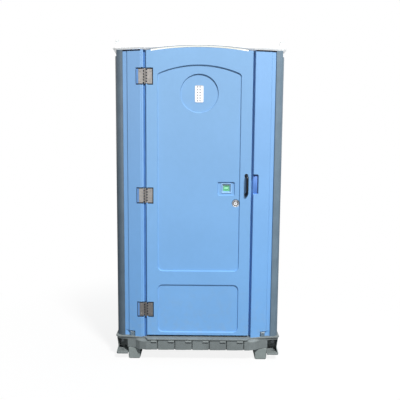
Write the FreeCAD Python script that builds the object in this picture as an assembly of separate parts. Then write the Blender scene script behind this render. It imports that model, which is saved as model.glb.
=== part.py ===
import FreeCAD, Part
import math
import os

Vector = FreeCAD.Vector

# A single portable toilet cabin. X runs to the right of someone facing the door, Y runs from the
# front to the back and Z runs up. Sizes are millimetres. The origin is on the ground under the
# middle of the cabin.

# Door
door_half_width = 373.0
door_height = 2078.0
door_arch_radius = 2141.0
door_corner = 5.0
outer_skin_depth = 28.0
inner_skin_depth = 10.0
skin = 4.0
door_edge_round = 5.0
door_sill_gap = 12.0
field_margin = 79.0
field_depth = 9.0
field_draft = 5.0
lower_field_rise = 23.0
lower_field_height = 361.0
field_gap = 99.0
field_top_gap = 128.0
field_arch_radius = 720.0
field_corner = 38.0
field_top_corner = 28.0
medallion_radius = 135.0
medallion_drop = 324.0
medallion_depth = 9.0
medallion_draft = 4.0
inner_field_margin = 60.0
inner_field_depth = 4.0

# Door frame
strike_gap = 14.0
jamb_width = 150.0
jamb_nose = 4.0
jamb_sheet = 4.0
hinge_nose_gap = 34.0
rabbet_depth = 20.0
hinge_edge_gap = 11.0
stop_gap = 1.0
stop_lap = 11.0
jamb_setback = 37.0
jamb_step_inset = 27.0
jamb_step = 6.0
jamb_drop = 27.0
wall_drop = 19.0
header_height = 60.0
header_depth = 28.0
threshold_height = 26.0
threshold_depth = 40.0
finger_pocket_width = 39.0
finger_pocket_height = 142.0
finger_pocket_depth = 20.0
finger_pocket_centre = 1308.0
clip_width = 30.0
clip_height = 40.0
clip_pocket_width = 70.0
clip_pocket_inset = 7.0
clip_pocket_depth = 14.0
clip_stand = 19.0
clip_gap = 6.0
clip_round = 5.0

# Corner posts and walls
post_face = 57.0
post_side = 70.0
post_round = 44.0
post_lead = 4.0
post_notch_play = 0.5
post_notch_height = 23.0
post_bar = 24.0
slot_depth = 20.0
slot_play = 0.3
wall_sheet = 4.0
wall_inset = 16.0
flute_height = 9.0
flute_count = 6
flute_share = 0.74
flute_draft = 9.0
flute_corner = 22.0
flute_rise = 60.0
flute_top_gap = 330.0
vent_width = 330.0
vent_height = 120.0
vent_top_gap = 70.0
vent_frame = 14.0
vent_frame_thickness = 6.0
vent_slats = 6
vent_slat_thickness = 3.0
vent_play = 0.3

# Base and skids
base_half_depth = 610.0
lip_overhang = 42.0
base_overhang = 12.0
base_rear_play = 4.0
bay_inset = 8.0
bay_jog_run = 22.0
bay_jog = 35.0
wing_setback = 30.0
base_corner = 28.0
base_rear_corner = 40.0
flange_round = 3.5
skid_height = 89.0
skirt_height = 77.0
flange = 9.0
flange_overhang = 7.0
skirt_draft = 8.0
skirt_wall = 8.0
skirt_bay_reach = 2.0
skirt_knee_run = 50.0
skirt_knee_back = 15.0
skirt_wing_run = 32.0
skirt_wing_back = 27.0
skirt_tip_gap = 9.0
shelf_height = 61.0
shelf_seat = 3.0
rib = 6.0
skid_width = 93.0
skid_centre = 467.5
skid_front_inset = 55.0
skid_rear_inset = 12.0
skid_corner = 12.0
skid_draft = 4.0
skid_end_round = 9.0
pocket_count = 6
pocket_pitch = 126.0
pocket_width = 52.0
pocket_depth = 2.5
pocket_shift = 1.0
pocket_groove = 9.0
pocket_groove_depth = 13.0
hood_height = 13.0
hood_reach = 7.0
hood_lip = 3.0
corner_hollow_width = 89.0
corner_wall = 5.0
cheek_thickness = 6.0
cheek_lead = 14.0
cheek_back = 40.0
cheek_foot = 4.0
cheek_round = 8.0
cheek_tip_round = 6.0
bracket_thickness = 8.0
bracket_ledge_drop = 47.0
bracket_ledge_thickness = 12.0
bracket_ledge_reach = 138.0
bracket_front_reach = 22.0
bracket_plate_rise = 46.0
bracket_gap = 1.0
bracket_bend = 8.0
bracket_corner = 14.0
bracket_edge_round = 3.0
bracket_plate_round = 10.0
bracket_bolt_play = 0.3
stake_hole_radius = 13.0
stake_inset = 36.0
stake_tip_gap = 54.0
bracket_bolt_inset = 25.0
bracket_bolt_rise = 6.0
bracket_bolt_head = 9.5
bracket_bolt_radius = 5.0
floor_thickness = 6.0
floor_gap = 4.0

# Roof
roof_overhang = 16.0
roof_sheet = 4.0
rim_slope = 23.0
rim_height = 32.0
rim_lap = 8.0
roof_front_inset = 28.0
roof_bay_reach = 10.0
roof_sweep = 57.0
roof_corner = 36.0
roof_rear_corner = 40.0
roof_arch_gap = 3.0
roof_arch_flatter = 360.0
crown_rise = 99.0
crown_radius = 5100.0
crown_place = 30.0
roof_ledge = 44.0
lug_width = 26.0
lug_length = 44.0
lug_rise = 61.0
lug_inset = 18.0
lug_hole_radius = 7.0

# Hinges
hinge_heights = (381.5, 1221.0, 2056.0)
hinge_names = ("bottom", "middle", "top")
hinge_offset = 6.0
hinge_barrel_radius = 6.5
hinge_pin_radius = 3.0
pin_play = 0.05
hinge_recess_depth = 10.0
door_recess_reach = 57.0
jamb_recess_reach = 65.0
hinge_recess_height = 117.0
leaf_thickness = 3.0
door_leaf_width = 50.0
jamb_leaf_width = 46.0
knuckle_count = 10
knuckle_pitch = 10.0
knuckle_play = 0.3
knuckle_slot = 8.5
knuckle_trough = 12.0
knuckle_trough_play = 1.5
barrel_play = 0.4
pin_head_radius = 5.5
pin_head = 3.0
rivet_radius = 2.5
rivet_head_radius = 4.5
rivet_head = 1.2
rivet_edge = 11.0
rivet_spread = 34.0
rivet_tail = 2.0

# Handle
handle_place = 338.0
handle_height = 1300.0
handle_span = 138.0
handle_reach = 34.0
handle_lean = 7.0
handle_half_width = 9.0
handle_half_depth = 6.5
handle_bend = 24.0
handle_pad_width = 25.0
handle_pad_height = 25.0
handle_pad = 4.0
handle_screw_radius = 2.0

# Sliding latch and its flag
latch_height = 1277.0
latch_place = 198.0
latch_travel = 45.0
window_width = 62.0
window_height = 61.0
window_draft = 8.0
dish_width = 123.0
dish_height = 99.0
dish_shift = -2.5
dish_drop = 4.5
dish_depth = 9.0
dish_draft = 4.0
dish_corner = 10.0
flag_thickness = 2.0
flag_gap = 0.8
bolt_height = 24.0
bolt_thickness = 10.0
bolt_play = 0.3
strike_plate_thickness = 1.6
strike_plate_height = 70.0
bolt_strike_gap = 1.0
bolt_back = 15.0
neck_width = 16.0
neck_height = 14.0
neck_play = 3.0
case_plate = 3.0
case_margin = 30.0
case_wall = 9.0
case_lip = 6.0
case_rail_inset = 3.0
case_lip_thickness = 2.7
case_edge_gap = 10.0
knob_radius = 13.0
knob_length = 18.0
case_screw_radius = 2.0
case_screw_head = 4.0
case_screw_inset = 8.0

# Key lock
lock_place = 265.0
lock_latch_gap = 49.0
rosette_radius = 24.0
rosette_thickness = 3.5
lock_dish_radius = 30.0
lock_dish_depth = 4.0
lock_dish_draft = 2.0
lock_barrel_radius = 12.0
lock_hole_play = 0.3
plug_radius = 8.0
plug_play = 0.05
key_slot_width = 2.0
key_slot_length = 9.0
key_slot_depth = 4.0
nut_radius = 17.0
nut_thickness = 5.0
cam_thickness = 3.0
cam_width = 22.0
cam_lap = 8.0
cam_gap = 2.0
cam_seat = 0.5

# Coat hook
hook_height = 1720.0
hook_wire = 5.0
hook_reach = 40.0
hook_drop = 45.0
hook_plate_width = 40.0
hook_plate_height = 60.0
hook_plate = 3.0

# Waste tank, seat and lid
tank_depth = 460.0
tank_height = 420.0
tank_wall = 6.0
tank_side_gap = 10.0
tank_rear_gap = 12.0
tank_toe = 70.0
tank_toe_height = 380.0
top_plate = 8.0
seat_plinth = 18.0
plinth_half_width = 205.0
hole_half_width = 120.0
hole_half_depth = 150.0
seat_half_width = 182.0
seat_half_depth = 205.0
seat_back_trim = 30.0
seat_front_gap = 8.0
seat_band = 62.0
seat_thickness = 20.0
lid_thickness = 14.0
seat_gap = 0.5
seat_pivot_gap = 30.0
seat_pivot_rise = 14.0
rod_radius = 5.0
ear_thickness = 14.0
ear_spacing = 74.0
ear_gap = 1.0
lid_open_angle = 93.0

# Vent pipe
pipe_radius = 45.0
pipe_wall = 3.0
pipe_side = 470.0
pipe_rear_gap = 130.0
pipe_above = 34.0
pipe_play = 0.4
cap_radius = 68.0
cap_height = 26.0
cap_gap = 16.0
cap_wall = 3.0
cap_leg = 8.0

# Urinal and its hose
urinal_place = -70.0
urinal_radius = 150.0
urinal_low_radius = 62.0
urinal_bottom = 600.0
urinal_rim = 790.0
urinal_wall = 5.0
urinal_back_height = 330.0
urinal_floor = 12.0
hose_radius = 17.0
hose_bore = 14.0
hose_bend = 70.0
hose_drop = 90.0

# Paper holder
paper_place = 10.0
paper_height = 880.0
roll_radius = 55.0
roll_width = 100.0
core_radius = 20.0
core_play = 0.1
paper_reach = 80.0
holder_plate = 4.0
holder_arm = 6.0
holder_gap = 2.0

# Places worked out from the sizes above
base_top = skid_height + skirt_height + flange
door_bottom = base_top + door_sill_gap
door_top = door_bottom + door_height
jamb_top = door_top - jamb_drop
wall_top = jamb_top - wall_drop
door_face = lip_overhang - base_half_depth
door_middle = door_face + outer_skin_depth
door_back = door_middle + inner_skin_depth
post_inner = door_half_width + strike_gap + jamb_width
post_outer = post_inner + post_face
wall_outer = post_outer - wall_inset
rear_outer = base_half_depth - base_overhang - base_rear_play
rear_wall = rear_outer - wall_inset
base_half_width = post_outer + base_overhang
stop_face = door_back + stop_gap
stop_back = stop_face + jamb_sheet
stop_edge = door_half_width - stop_lap
nose_face = door_face - jamb_nose
post_line = nose_face + jamb_setback
hinge_x = -door_half_width - hinge_offset
hinge_floor = door_face + hinge_recess_depth
hinge_y = hinge_floor - hinge_barrel_radius - barrel_play
panel_floor = door_face + field_depth
upper_field_low = door_bottom + lower_field_rise + lower_field_height + field_gap
upper_field_top = door_top - field_top_gap
medallion_height = door_top - medallion_drop
roof_half_width = post_outer + roof_overhang
rim_top = wall_top + rim_height
crown_top = wall_top + crown_rise
floor_top = base_top + floor_thickness
front_wall_end = post_line + jamb_step + post_side + 22.0
lock_height = latch_height - bolt_height / 2 - case_margin - lock_latch_gap - nut_radius
wing_tip = bay_jog + wing_setback - base_half_depth
skirt_face = flange_overhang - base_half_depth
shelf = skid_height + shelf_height
flange_low = base_top - flange
rim_inner = roof_half_width - rim_slope - roof_sheet
roof_wing = roof_front_inset + roof_sweep - base_half_depth


def plan(height):
    return lambda u, v: Vector(u, v, height)


def front(depth):
    return lambda u, v: Vector(u, depth, v)


def side(across):
    return lambda u, v: Vector(across, u, v)


def outline(corners, place):
    # closed wire through (u, v, radius) corners, each rounded by its own radius
    stops = []
    for i, (u, v, radius) in enumerate(corners):
        before = corners[i - 1]
        after = corners[(i + 1) % len(corners)]
        back = math.hypot(before[0] - u, before[1] - v)
        on = math.hypot(after[0] - u, after[1] - v)
        a = ((before[0] - u) / back, (before[1] - v) / back)
        b = ((after[0] - u) / on, (after[1] - v) / on)
        if radius <= 0:
            stops.append(((u, v), None, (u, v)))
            continue
        half = math.acos(max(-1.0, min(1.0, a[0] * b[0] + a[1] * b[1]))) / 2
        reach = radius / math.tan(half)
        away = radius / math.sin(half) - radius
        long = math.hypot(a[0] + b[0], a[1] + b[1])
        middle = (u + (a[0] + b[0]) / long * away, v + (a[1] + b[1]) / long * away)
        stops.append(((u + a[0] * reach, v + a[1] * reach), middle, (u + b[0] * reach, v + b[1] * reach)))
    edges = []
    for i, (start, middle, end) in enumerate(stops):
        if middle:
            edges.append(Part.Arc(place(*start), place(*middle), place(*end)).toShape())
        ahead = stops[(i + 1) % len(stops)][0]
        if math.hypot(ahead[0] - end[0], ahead[1] - end[1]) > 1e-6:
            edges.append(Part.LineSegment(place(*end), place(*ahead)).toShape())
    return Part.Wire(edges)


def inset(corners, by):
    # the same corners moved inwards by an even distance, or outwards where it is negative
    count = len(corners)
    area = sum(corners[i - 1][0] * corners[i][1] - corners[i][0] * corners[i - 1][1] for i in range(count))
    turn = 1.0 if area > 0 else -1.0
    moved = []
    for i, (u, v, radius) in enumerate(corners):
        before = corners[i - 1]
        after = corners[(i + 1) % count]
        come = Vector(u - before[0], v - before[1], 0).normalize()
        go = Vector(after[0] - u, after[1] - v, 0).normalize()
        n = Vector(-come.y, come.x, 0) * turn
        m = Vector(-go.y, go.x, 0) * turn
        shift = (n + m) * (by / (1.0 + n.dot(m)))
        convex = turn * (come.x * go.y - come.y * go.x) > 0
        if radius > 0:
            radius = radius - by if convex else radius + by
        moved.append((u + shift.x, v + shift.y, max(radius, 0.0)))
    return moved


def block(u0, u1, v0, v1, radius=0.0):
    # corners of a rounded rectangle
    return [(u0, v0, radius), (u1, v0, radius), (u1, v1, radius), (u0, v1, radius)]


def upright(corners, low, high):
    return Part.Face(outline(corners, plan(low))).extrude(Vector(0, 0, high - low))


def through(corners, near, far):
    return Part.Face(outline(corners, front(near))).extrude(Vector(0, far - near, 0))


def across(corners, left, right):
    return Part.Face(outline(corners, side(left))).extrude(Vector(right - left, 0, 0))


def funnel(corners, place, near, far, draft):
    # solid between an outline and the same outline drawn in by the draft
    first = outline(corners, place(near))
    last = outline(inset(corners, draft), place(far))
    return Part.makeLoft([first, last], True, True)


def box(x0, x1, y0, y1, z0, z1):
    return Part.makeBox(x1 - x0, y1 - y0, z1 - z0, Vector(x0, y0, z0))


def rod(radius, start, end):
    along = end - start
    return Part.makeCylinder(radius, along.Length, start, along)


def arch(by=0.0):
    # half width, bottom, top, arch radius, bottom corner and top corner of the door
    round_off = max(door_corner - by, 2.0)
    return (door_half_width - by, door_bottom + by, door_top - by, door_arch_radius - by, round_off,
            round_off)


def upper_field(by=0.0):
    return (
        door_half_width - field_margin - by,
        upper_field_low + by,
        upper_field_top - by,
        field_arch_radius - by,
        field_corner - by,
        field_top_corner - by,
    )


def arch_wire(shape, depth):
    # straight sides, rounded bottom corners and an arched top that runs into the sides by arcs
    half, low, top, radius, low_round, top_round = shape
    centre = top - radius
    rise = math.sqrt((radius - top_round) ** 2 - (half - top_round) ** 2)
    share = radius / (radius - top_round)
    lean = math.atan2(rise, half - top_round) / 2
    place = front(depth)
    knee = (half - top_round + top_round * math.cos(lean), centre + rise + top_round * math.sin(lean))
    touch = ((half - top_round) * share, centre + rise * share)
    bend = low_round * (1 - math.sqrt(0.5))

    def line(a, b):
        return Part.LineSegment(place(*a), place(*b)).toShape()

    def arc(a, b, c):
        return Part.Arc(place(*a), place(*b), place(*c)).toShape()

    return Part.Wire([
        line((low_round - half, low), (half - low_round, low)),
        arc((half - low_round, low), (half - bend, low + bend), (half, low + low_round)),
        line((half, low + low_round), (half, centre + rise)),
        arc((half, centre + rise), knee, touch),
        arc(touch, (0, top), (-touch[0], touch[1])),
        arc((-touch[0], touch[1]), (-knee[0], knee[1]), (-half, centre + rise)),
        line((-half, centre + rise), (-half, low + low_round)),
        arc((-half, low + low_round), (bend - half, low + bend), (low_round - half, low)),
    ])


def arched(shape, near, far):
    return Part.Face(arch_wire(shape, near)).extrude(Vector(0, far - near, 0))


def arched_funnel(shape, narrow, near, far):
    return Part.makeLoft([arch_wire(shape, near), arch_wire(narrow, far)], True, True)


def cone_recess(x, z, radius, draft, near, far):
    return Part.makeCone(radius, radius - draft, far - near, Vector(x, near, z), Vector(0, 1, 0))


def join(shapes):
    whole = shapes[0]
    for shape in shapes[1:]:
        whole = whole.fuse(shape)
    return whole.removeSplitter()


def mirrored(shape):
    return shape.mirror(Vector(0, 0, 0), Vector(1, 0, 0))


def group(shapes):
    return Part.makeCompound(shapes)


# Base, skids, brackets and floor


def base_corners():
    bay = door_half_width - bay_inset
    y = -base_half_depth
    right = [(bay, y, 8.0), (bay + bay_jog_run, y + bay_jog, 10.0), (base_half_width, wing_tip, base_corner)]
    left = [(-u, v, radius) for u, v, radius in reversed(right)]
    rear = [(base_half_width, base_half_depth, base_rear_corner),
            (-base_half_width, base_half_depth, base_rear_corner)]
    return right + rear + left


def skirt_corners(narrower=0.0):
    # the skirt stands back under the flange, and sweeps from the bay to the wings further out than the
    # flange does
    half = base_half_width - flange_overhang - narrower
    bay = door_half_width + skirt_bay_reach
    knee = bay + skirt_knee_run
    wing = knee + skirt_wing_run
    knee_y = skirt_face + skirt_knee_back
    right = [(bay, skirt_face, 14.0), (knee, knee_y, 22.0), (wing, knee_y + skirt_wing_back, 5.0),
             (half, wing_tip + skirt_tip_gap, base_corner - flange_overhang)]
    back = base_half_depth - flange_overhang
    left = [(-u, v, radius) for u, v, radius in reversed(right)]
    return right + [(half, back, base_rear_corner - flange_overhang),
                    (-half, back, base_rear_corner - flange_overhang)] + left


def shelf_corners():
    # where the sloped shelf on top of the skirt meets the underside of the flange
    half = base_half_width - flange_overhang
    bay = door_half_width - bay_inset
    wing = door_half_width + skirt_bay_reach + skirt_knee_run + skirt_wing_run
    edge = bay_jog - base_half_depth
    right = [(bay, skirt_face, 8.0), (bay + bay_jog_run, edge + shelf_seat, 10.0),
             (wing, skirt_face + skirt_knee_back + skirt_wing_back, 5.0),
             (half, wing_tip + skirt_tip_gap, base_corner - flange_overhang)]
    back = base_half_depth - flange_overhang
    left = [(-u, v, radius) for u, v, radius in reversed(right)]
    return right + [(half, back, base_rear_corner - flange_overhang),
                    (-half, back, base_rear_corner - flange_overhang)] + left


def hollow_walls():
    # depth of the wall behind each corner hollow, where the ledge starts, with the way the hollow opens
    return ((wing_tip - bracket_front_reach + bracket_ledge_reach, -1.0),
            (base_half_depth - bracket_ledge_reach, 1.0))


def corner_hollows(grow):
    # the four corners below the shelf, open to the front or the rear and below
    low = skid_height - 1.0
    inner = base_half_width - corner_hollow_width - grow
    outer = base_half_width - flange_overhang - corner_wall
    section = [(inner, low, 0), (outer - skirt_draft, low, 0), (outer, shelf + grow, 0),
               (inner, shelf + grow, 0)]
    hollows = []
    for wall, way in hollow_walls():
        near, far = sorted((wall - way * grow, way * (base_half_depth + 50.0)))
        hollow = through(section, near, far)
        hollows += [hollow, mirrored(hollow)]
    return hollows


def pocket_sides():
    first = -pocket_pitch * (pocket_count - 1) / 2 - pocket_width / 2 + pocket_shift
    return [(first + i * pocket_pitch, first + i * pocket_pitch + pocket_width) for i in range(pocket_count)]


def skirt_pockets(grow):
    # shallow pockets in the front of the skirt, each with a deep groove at its right-hand end
    cuts = []
    for left, right in pocket_sides():
        cuts.append(box(left - grow, right + grow, skirt_face - 1.0, skirt_face + pocket_depth + grow,
                        skid_height - 1.0, shelf + grow))
        cuts.append(box(right - pocket_groove - grow, right + grow, skirt_face - 1.0,
                        skirt_face + pocket_groove_depth + grow, skid_height - 1.0, flange_low))
    return cuts


def skirt_hoods():
    # a small sloped hood over each pocket
    face = skirt_face
    profile = [(face + pocket_depth, shelf, 0), (face + pocket_depth, shelf + hood_height, 0),
               (face, shelf + hood_height, 0), (face - hood_reach, shelf + hood_lip, 0),
               (face - hood_reach, shelf, 0)]
    return [across(profile, left, right - pocket_groove) for left, right in pocket_sides()]


def skirt_form(by):
    # the skirt draws in towards its foot on both sides; above it the shelf slopes back to the flange
    foot = outline(inset(skirt_corners(skirt_draft), by), plan(skid_height))
    edge = outline(inset(skirt_corners(), by), plan(shelf - by))
    skirt = Part.makeLoft([foot, edge], True, True)
    if by:
        return skirt.fuse(upright(inset(shelf_corners(), by), shelf - by, flange_low))
    head = outline(shelf_corners(), plan(flange_low))
    slope = Part.makeLoft([outline(skirt_corners(), plan(shelf)), head], True, True)
    return skirt.fuse(slope).removeSplitter()


def base():
    plate = upright(base_corners(), flange_low, base_top)
    rim = [edge for edge in plate.Edges if all(abs(v.Z - base_top) < 1e-4 for v in edge.Vertexes)]
    plate = plate.makeFillet(flange_round, rim)
    skirt = skirt_form(0.0)
    hollow = skirt_form(skirt_wall)
    for cut in skirt_pockets(skirt_wall) + corner_hollows(skirt_wall):
        hollow = hollow.cut(cut)
    half = base_half_width - flange_overhang
    long = base_half_depth
    ribs = []
    for x in (-skid_centre, skid_centre):
        for edge in (-skid_width / 2 + rib, skid_width / 2 - rib):
            ribs.append(box(x + edge - rib / 2, x + edge + rib / 2, -long, long, skid_height, base_top))
    for i in range(3):
        x = (i - 1) * skid_centre / 2
        ribs.append(box(x - rib / 2, x + rib / 2, -long, long, skid_height + rib, base_top))
    for i in range(5):
        y = (i - 2) * base_half_depth / 3
        ribs.append(box(-half, half, y - rib / 2, y + rib / 2, skid_height + rib, base_top))
    hollow = hollow.cut(group(ribs))
    skirt = skirt.cut(hollow)
    for cut in skirt_pockets(0) + corner_hollows(0):
        skirt = skirt.cut(cut)
    return join([plate, skirt] + skirt_hoods())


def skid(sign):
    near = -base_half_depth + skid_front_inset
    far = base_half_depth - skid_rear_inset
    middle = sign * skid_centre
    half = skid_width / 2
    foot = half - skid_draft
    section = [(middle - foot, 0, skid_corner), (middle + foot, 0, skid_corner),
               (middle + half, skid_height, skid_corner),
               (middle - half, skid_height, skid_corner)]
    runner = through(section, near, far)
    ends = [edge for edge in runner.Edges
            if all(abs(v.Y - near) < 1e-4 for v in edge.Vertexes)
            or all(abs(v.Y - far) < 1e-4 for v in edge.Vertexes)]
    return runner.makeFillet(skid_end_round, ends)


def bracket_span():
    # inner and outer side of a bracket's ledge, and of the plate behind it
    low_inner = skid_centre + skid_width / 2 + bracket_gap
    low_outer = base_half_width - flange_overhang
    high_inner = base_half_width - corner_hollow_width + bracket_gap
    return low_inner, low_outer, high_inner, low_outer - skirt_draft - corner_wall - bracket_gap


def bracket_cheek(wall, way, tip, low):
    # outer side of a bracket, which leans out from the foot of the skirt to the edge of the ledge
    outer = bracket_span()[1]
    foot = outer - skirt_draft
    under = low + cheek_foot
    top = low + bracket_ledge_thickness
    section = [(foot - cheek_thickness, skid_height, 0), (foot, skid_height, 0), (outer, top, cheek_round),
               (outer, under, 0), (outer - cheek_thickness, under, 0),
               (outer - cheek_thickness, top, cheek_round)]
    sides = [(wall, low, 0), (tip - way * cheek_lead, low, 0), (tip - way * cheek_lead, top, cheek_tip_round),
             (tip - way * cheek_back, skid_height, 0), (wall, skid_height, 0)]
    near, far = sorted((wall, tip))
    return through(section, near, far).common(across(sides, foot - 2 * cheek_thickness, outer))


def bracket_bolt_place():
    return bracket_span()[1] - bracket_bolt_inset, skid_height + bracket_bolt_rise


def stake_hole_place(wall, way):
    # middle of the hole for a stake, in plan
    return bracket_span()[1] - stake_inset, wall + way * (bracket_ledge_reach - stake_tip_gap)


def tie_brackets():
    # a plate bolted to the wall of the hollow, and a ledge at its foot that takes the stake
    low_inner, low_outer, high_inner, high_outer = bracket_span()
    low = skid_height - bracket_ledge_drop
    top = low + bracket_ledge_thickness
    high = skid_height + bracket_plate_rise
    thick = bracket_thickness
    bolt_x, bolt_z = bracket_bolt_place()
    made = []
    for wall, way in hollow_walls():
        tip = wall + way * bracket_ledge_reach
        profile = [(wall, high, 0), (wall, low, 0), (tip, low, 0), (tip, top, bracket_edge_round),
                   (wall + way * thick, top, bracket_bend), (wall + way * thick, high, 0)]
        spread = [(low_inner, low, 0), (low_outer, low, 0), (low_outer, top, cheek_round),
                  (low_outer - skirt_draft, skid_height, 0), (high_outer, skid_height, 0),
                  (high_outer, high, bracket_plate_round), (high_inner, high, bracket_plate_round),
                  (high_inner, skid_height - bracket_gap, 0), (low_inner, skid_height - bracket_gap, 0)]
        near, far = sorted((wall, tip))
        footprint = [(low_inner, wall, 0), (low_outer, wall, 0), (low_outer, tip, bracket_corner),
                     (low_inner, tip, 0)]
        bracket = across(profile, low_inner, low_outer).common(through(spread, near, far))
        bracket = bracket.common(upright(footprint, low, high)).fuse(bracket_cheek(wall, way, tip, low))
        bracket = bracket.removeSplitter()
        x, y = stake_hole_place(wall, way)
        bracket = bracket.cut(rod(stake_hole_radius, Vector(x, y, low - 5.0), Vector(x, y, top + 5.0)))
        shaft = rod(bracket_bolt_radius + bracket_bolt_play, Vector(bolt_x, wall, bolt_z),
                    Vector(bolt_x, wall + way * 20.0, bolt_z))
        bracket = bracket.cut(shaft)
        made += [bracket, mirrored(bracket)]
    return group(made)


def hex_head(radius, place, along, height):
    points = [(radius * math.cos(math.radians(60 * i)), radius * math.sin(math.radians(60 * i)))
              for i in range(6)]
    wire = Part.makePolygon([place + Vector(u, 0, v) for u, v in points + points[:1]])
    return Part.Face(wire).extrude(along * height)


def bracket_bolts():
    x, z = bracket_bolt_place()
    made = []
    for wall, way in hollow_walls():
        seat = wall + way * bracket_thickness
        head = hex_head(bracket_bolt_head, Vector(x, seat, z), Vector(0, way, 0), 6.0)
        bolt = head.fuse(rod(bracket_bolt_radius, Vector(x, seat, z), Vector(x, wall, z)))
        made += [bolt, mirrored(bolt)]
    return group(made)


def floor_panel():
    near = stop_back + threshold_depth + floor_gap
    far = rear_wall - wall_sheet - floor_gap
    half = wall_outer - wall_sheet - flute_height - floor_gap
    keep = post_bar
    corners = [
        (-half, near + keep + 30.0, 0), (-post_inner + 60.0, near, 0), (post_inner - 60.0, near, 0),
        (half, near + keep + 30.0, 0), (half, far - keep, 0), (half - keep, far, 0),
        (keep - half, far, 0), (-half, far - keep, 0),
    ]
    return upright(corners, base_top, floor_top)


# Door frame


def jamb_path(nose_x, rabbet):
    # outer face of a jamb seen from above on the right-hand side, from the post to the door stop
    slope = jamb_setback / (post_inner - nose_x)
    step_x = post_inner - jamb_step_inset

    def face(x):
        return nose_face + (x - nose_x) * slope

    end = post_inner + slot_depth - 2.0
    path = [
        (end, face(end) + jamb_step, 0),
        (step_x, face(step_x) + jamb_step, 1.0),
        (step_x - jamb_step, face(step_x - jamb_step), 1.0),
        (nose_x, nose_face, 7.0),
    ]
    edge = nose_x
    if rabbet:
        edge = door_half_width + hinge_edge_gap
        floor = door_face + rabbet_depth
        path[-1] = (nose_x, nose_face, 5.0)
        path += [(nose_x - 3.0, floor, 2.0), (edge, floor, 3.0)]
    return path + [(edge, stop_face, 0), (stop_edge, stop_face, 0)]


def sheet_corners(path, thickness):
    # closed section of a sheet that lies to the right of the path
    back = []
    for i, (u, v, radius) in enumerate(path):
        here = Vector(u, v, 0)
        come = go = None
        if i > 0:
            come = (here - Vector(path[i - 1][0], path[i - 1][1], 0)).normalize()
        if i < len(path) - 1:
            go = (Vector(path[i + 1][0], path[i + 1][1], 0) - here).normalize()
        come = come or go
        go = go or come
        n = Vector(come.y, -come.x, 0)
        m = Vector(go.y, -go.x, 0)
        spot = here + (n + m) * (thickness / (1.0 + n.dot(m)))
        right_turn = come.x * go.y - come.y * go.x < 0
        if radius > 0:
            radius = max(radius - thickness, 0.0) if right_turn else radius + thickness
        back.append((spot.x, spot.y, radius))
    return path + back[::-1]


def envelope(path, depth):
    # everything from a jamb's face back to a given depth
    return path[:-2] + [(path[-2][0], depth, 0), (path[0][0], depth, 0)]


def jamb_sheet_solid(path):
    # the edge that slides into the post stops at the foot of the roof
    sheet = upright(sheet_corners(path, jamb_sheet), base_top, jamb_top)
    return sheet.cut(box(post_inner, post_outer, -base_half_depth, 0, wall_top, jamb_top + 1.0))


def clip_span():
    # sides of the recess at the foot of a jamb, on the right-hand side
    right = post_inner - clip_pocket_inset
    return right - clip_pocket_width, right


def clip_floor():
    return post_line - 8.0 + clip_pocket_depth


def clip_recess(path, jamb):
    # open-bottomed recess at the foot of a jamb, where its clip stands
    left, right = clip_span()
    top = base_top + clip_height
    floor = clip_floor()
    grown = box(left - jamb_sheet, right + jamb_sheet, nose_face - 20.0, floor + jamb_sheet, base_top,
                top + jamb_sheet)
    whole = jamb.fuse(grown.common(upright(envelope(path, floor + jamb_sheet), base_top, jamb_top)))
    return whole.removeSplitter().cut(box(left, right, nose_face - 20.0, floor, base_top - 1.0, top))


def jamb_clips():
    left = clip_span()[0] + clip_gap
    floor = clip_floor()
    near = floor - clip_stand
    high = base_top + clip_height
    profile = [(near, base_top, 0), (floor, base_top, 0), (floor, high - 2.0, 0),
               (near + 7.0, high - 3.0, clip_round),
               (near, high - 14.0, clip_round)]
    clip = across(profile, left, left + clip_width)
    return group([clip, mirrored(clip)])


def strike_jamb():
    nose_x = door_half_width + strike_gap
    path = jamb_path(nose_x, False)
    jamb = clip_recess(path, jamb_sheet_solid(path))
    low = finger_pocket_centre - finger_pocket_height / 2
    high = finger_pocket_centre + finger_pocket_height / 2
    right = nose_x + finger_pocket_width
    floor = nose_face + finger_pocket_depth
    grown = box(nose_x, right + jamb_sheet, nose_face - 20.0, floor + jamb_sheet, low - jamb_sheet,
                high + jamb_sheet)
    behind = upright(envelope(path, floor + jamb_sheet), base_top, jamb_top)
    jamb = jamb.fuse(grown.common(behind)).removeSplitter()
    pocket = through([(nose_x - 30.0, low, 0), (right, low, 12.0), (right, high, 12.0),
                      (nose_x - 30.0, high, 0)],
                     nose_face - 20.0, floor)
    return jamb.cut(pocket)


def hinge_recess(side_from, side_to, grow):
    made = []
    half = hinge_recess_height / 2
    for height in hinge_heights:
        made.append(box(side_from, side_to, nose_face - 20.0, hinge_floor + grow,
                        height - half - grow, height + half + grow))
    return made


def knuckle_troughs(side_from, side_to, grow):
    # the door's edge falls away behind the slots between the knuckles
    made = []
    half = knuckle_count * knuckle_pitch / 2
    for height in hinge_heights:
        made.append(box(side_from, side_to, nose_face - 20.0, hinge_floor + knuckle_trough + grow,
                        height - half - grow, height + half + grow))
    return made


def hinge_jamb():
    # drawn on the right, then mirrored to the left, where the hinges are
    nose_x = door_half_width + hinge_nose_gap
    path = jamb_path(nose_x, True)
    jamb = clip_recess(path, jamb_sheet_solid(path))
    behind = upright(envelope(path, stop_face), base_top, jamb_top)
    edge = door_half_width + hinge_edge_gap
    outer = -hinge_x + jamb_recess_reach
    for grown in hinge_recess(edge, outer + jamb_sheet, jamb_sheet):
        jamb = jamb.fuse(grown.common(behind))
    jamb = jamb.removeSplitter()
    for cut in hinge_recess(edge - 30.0, outer, 0):
        jamb = jamb.cut(cut)
    jamb = mirrored(jamb)
    for x, z in rivet_places(-1):
        jamb = jamb.cut(rod(rivet_radius + 0.2, Vector(x, nose_face, z), Vector(x, hinge_floor + 20.0, z)))
    return jamb


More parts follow.
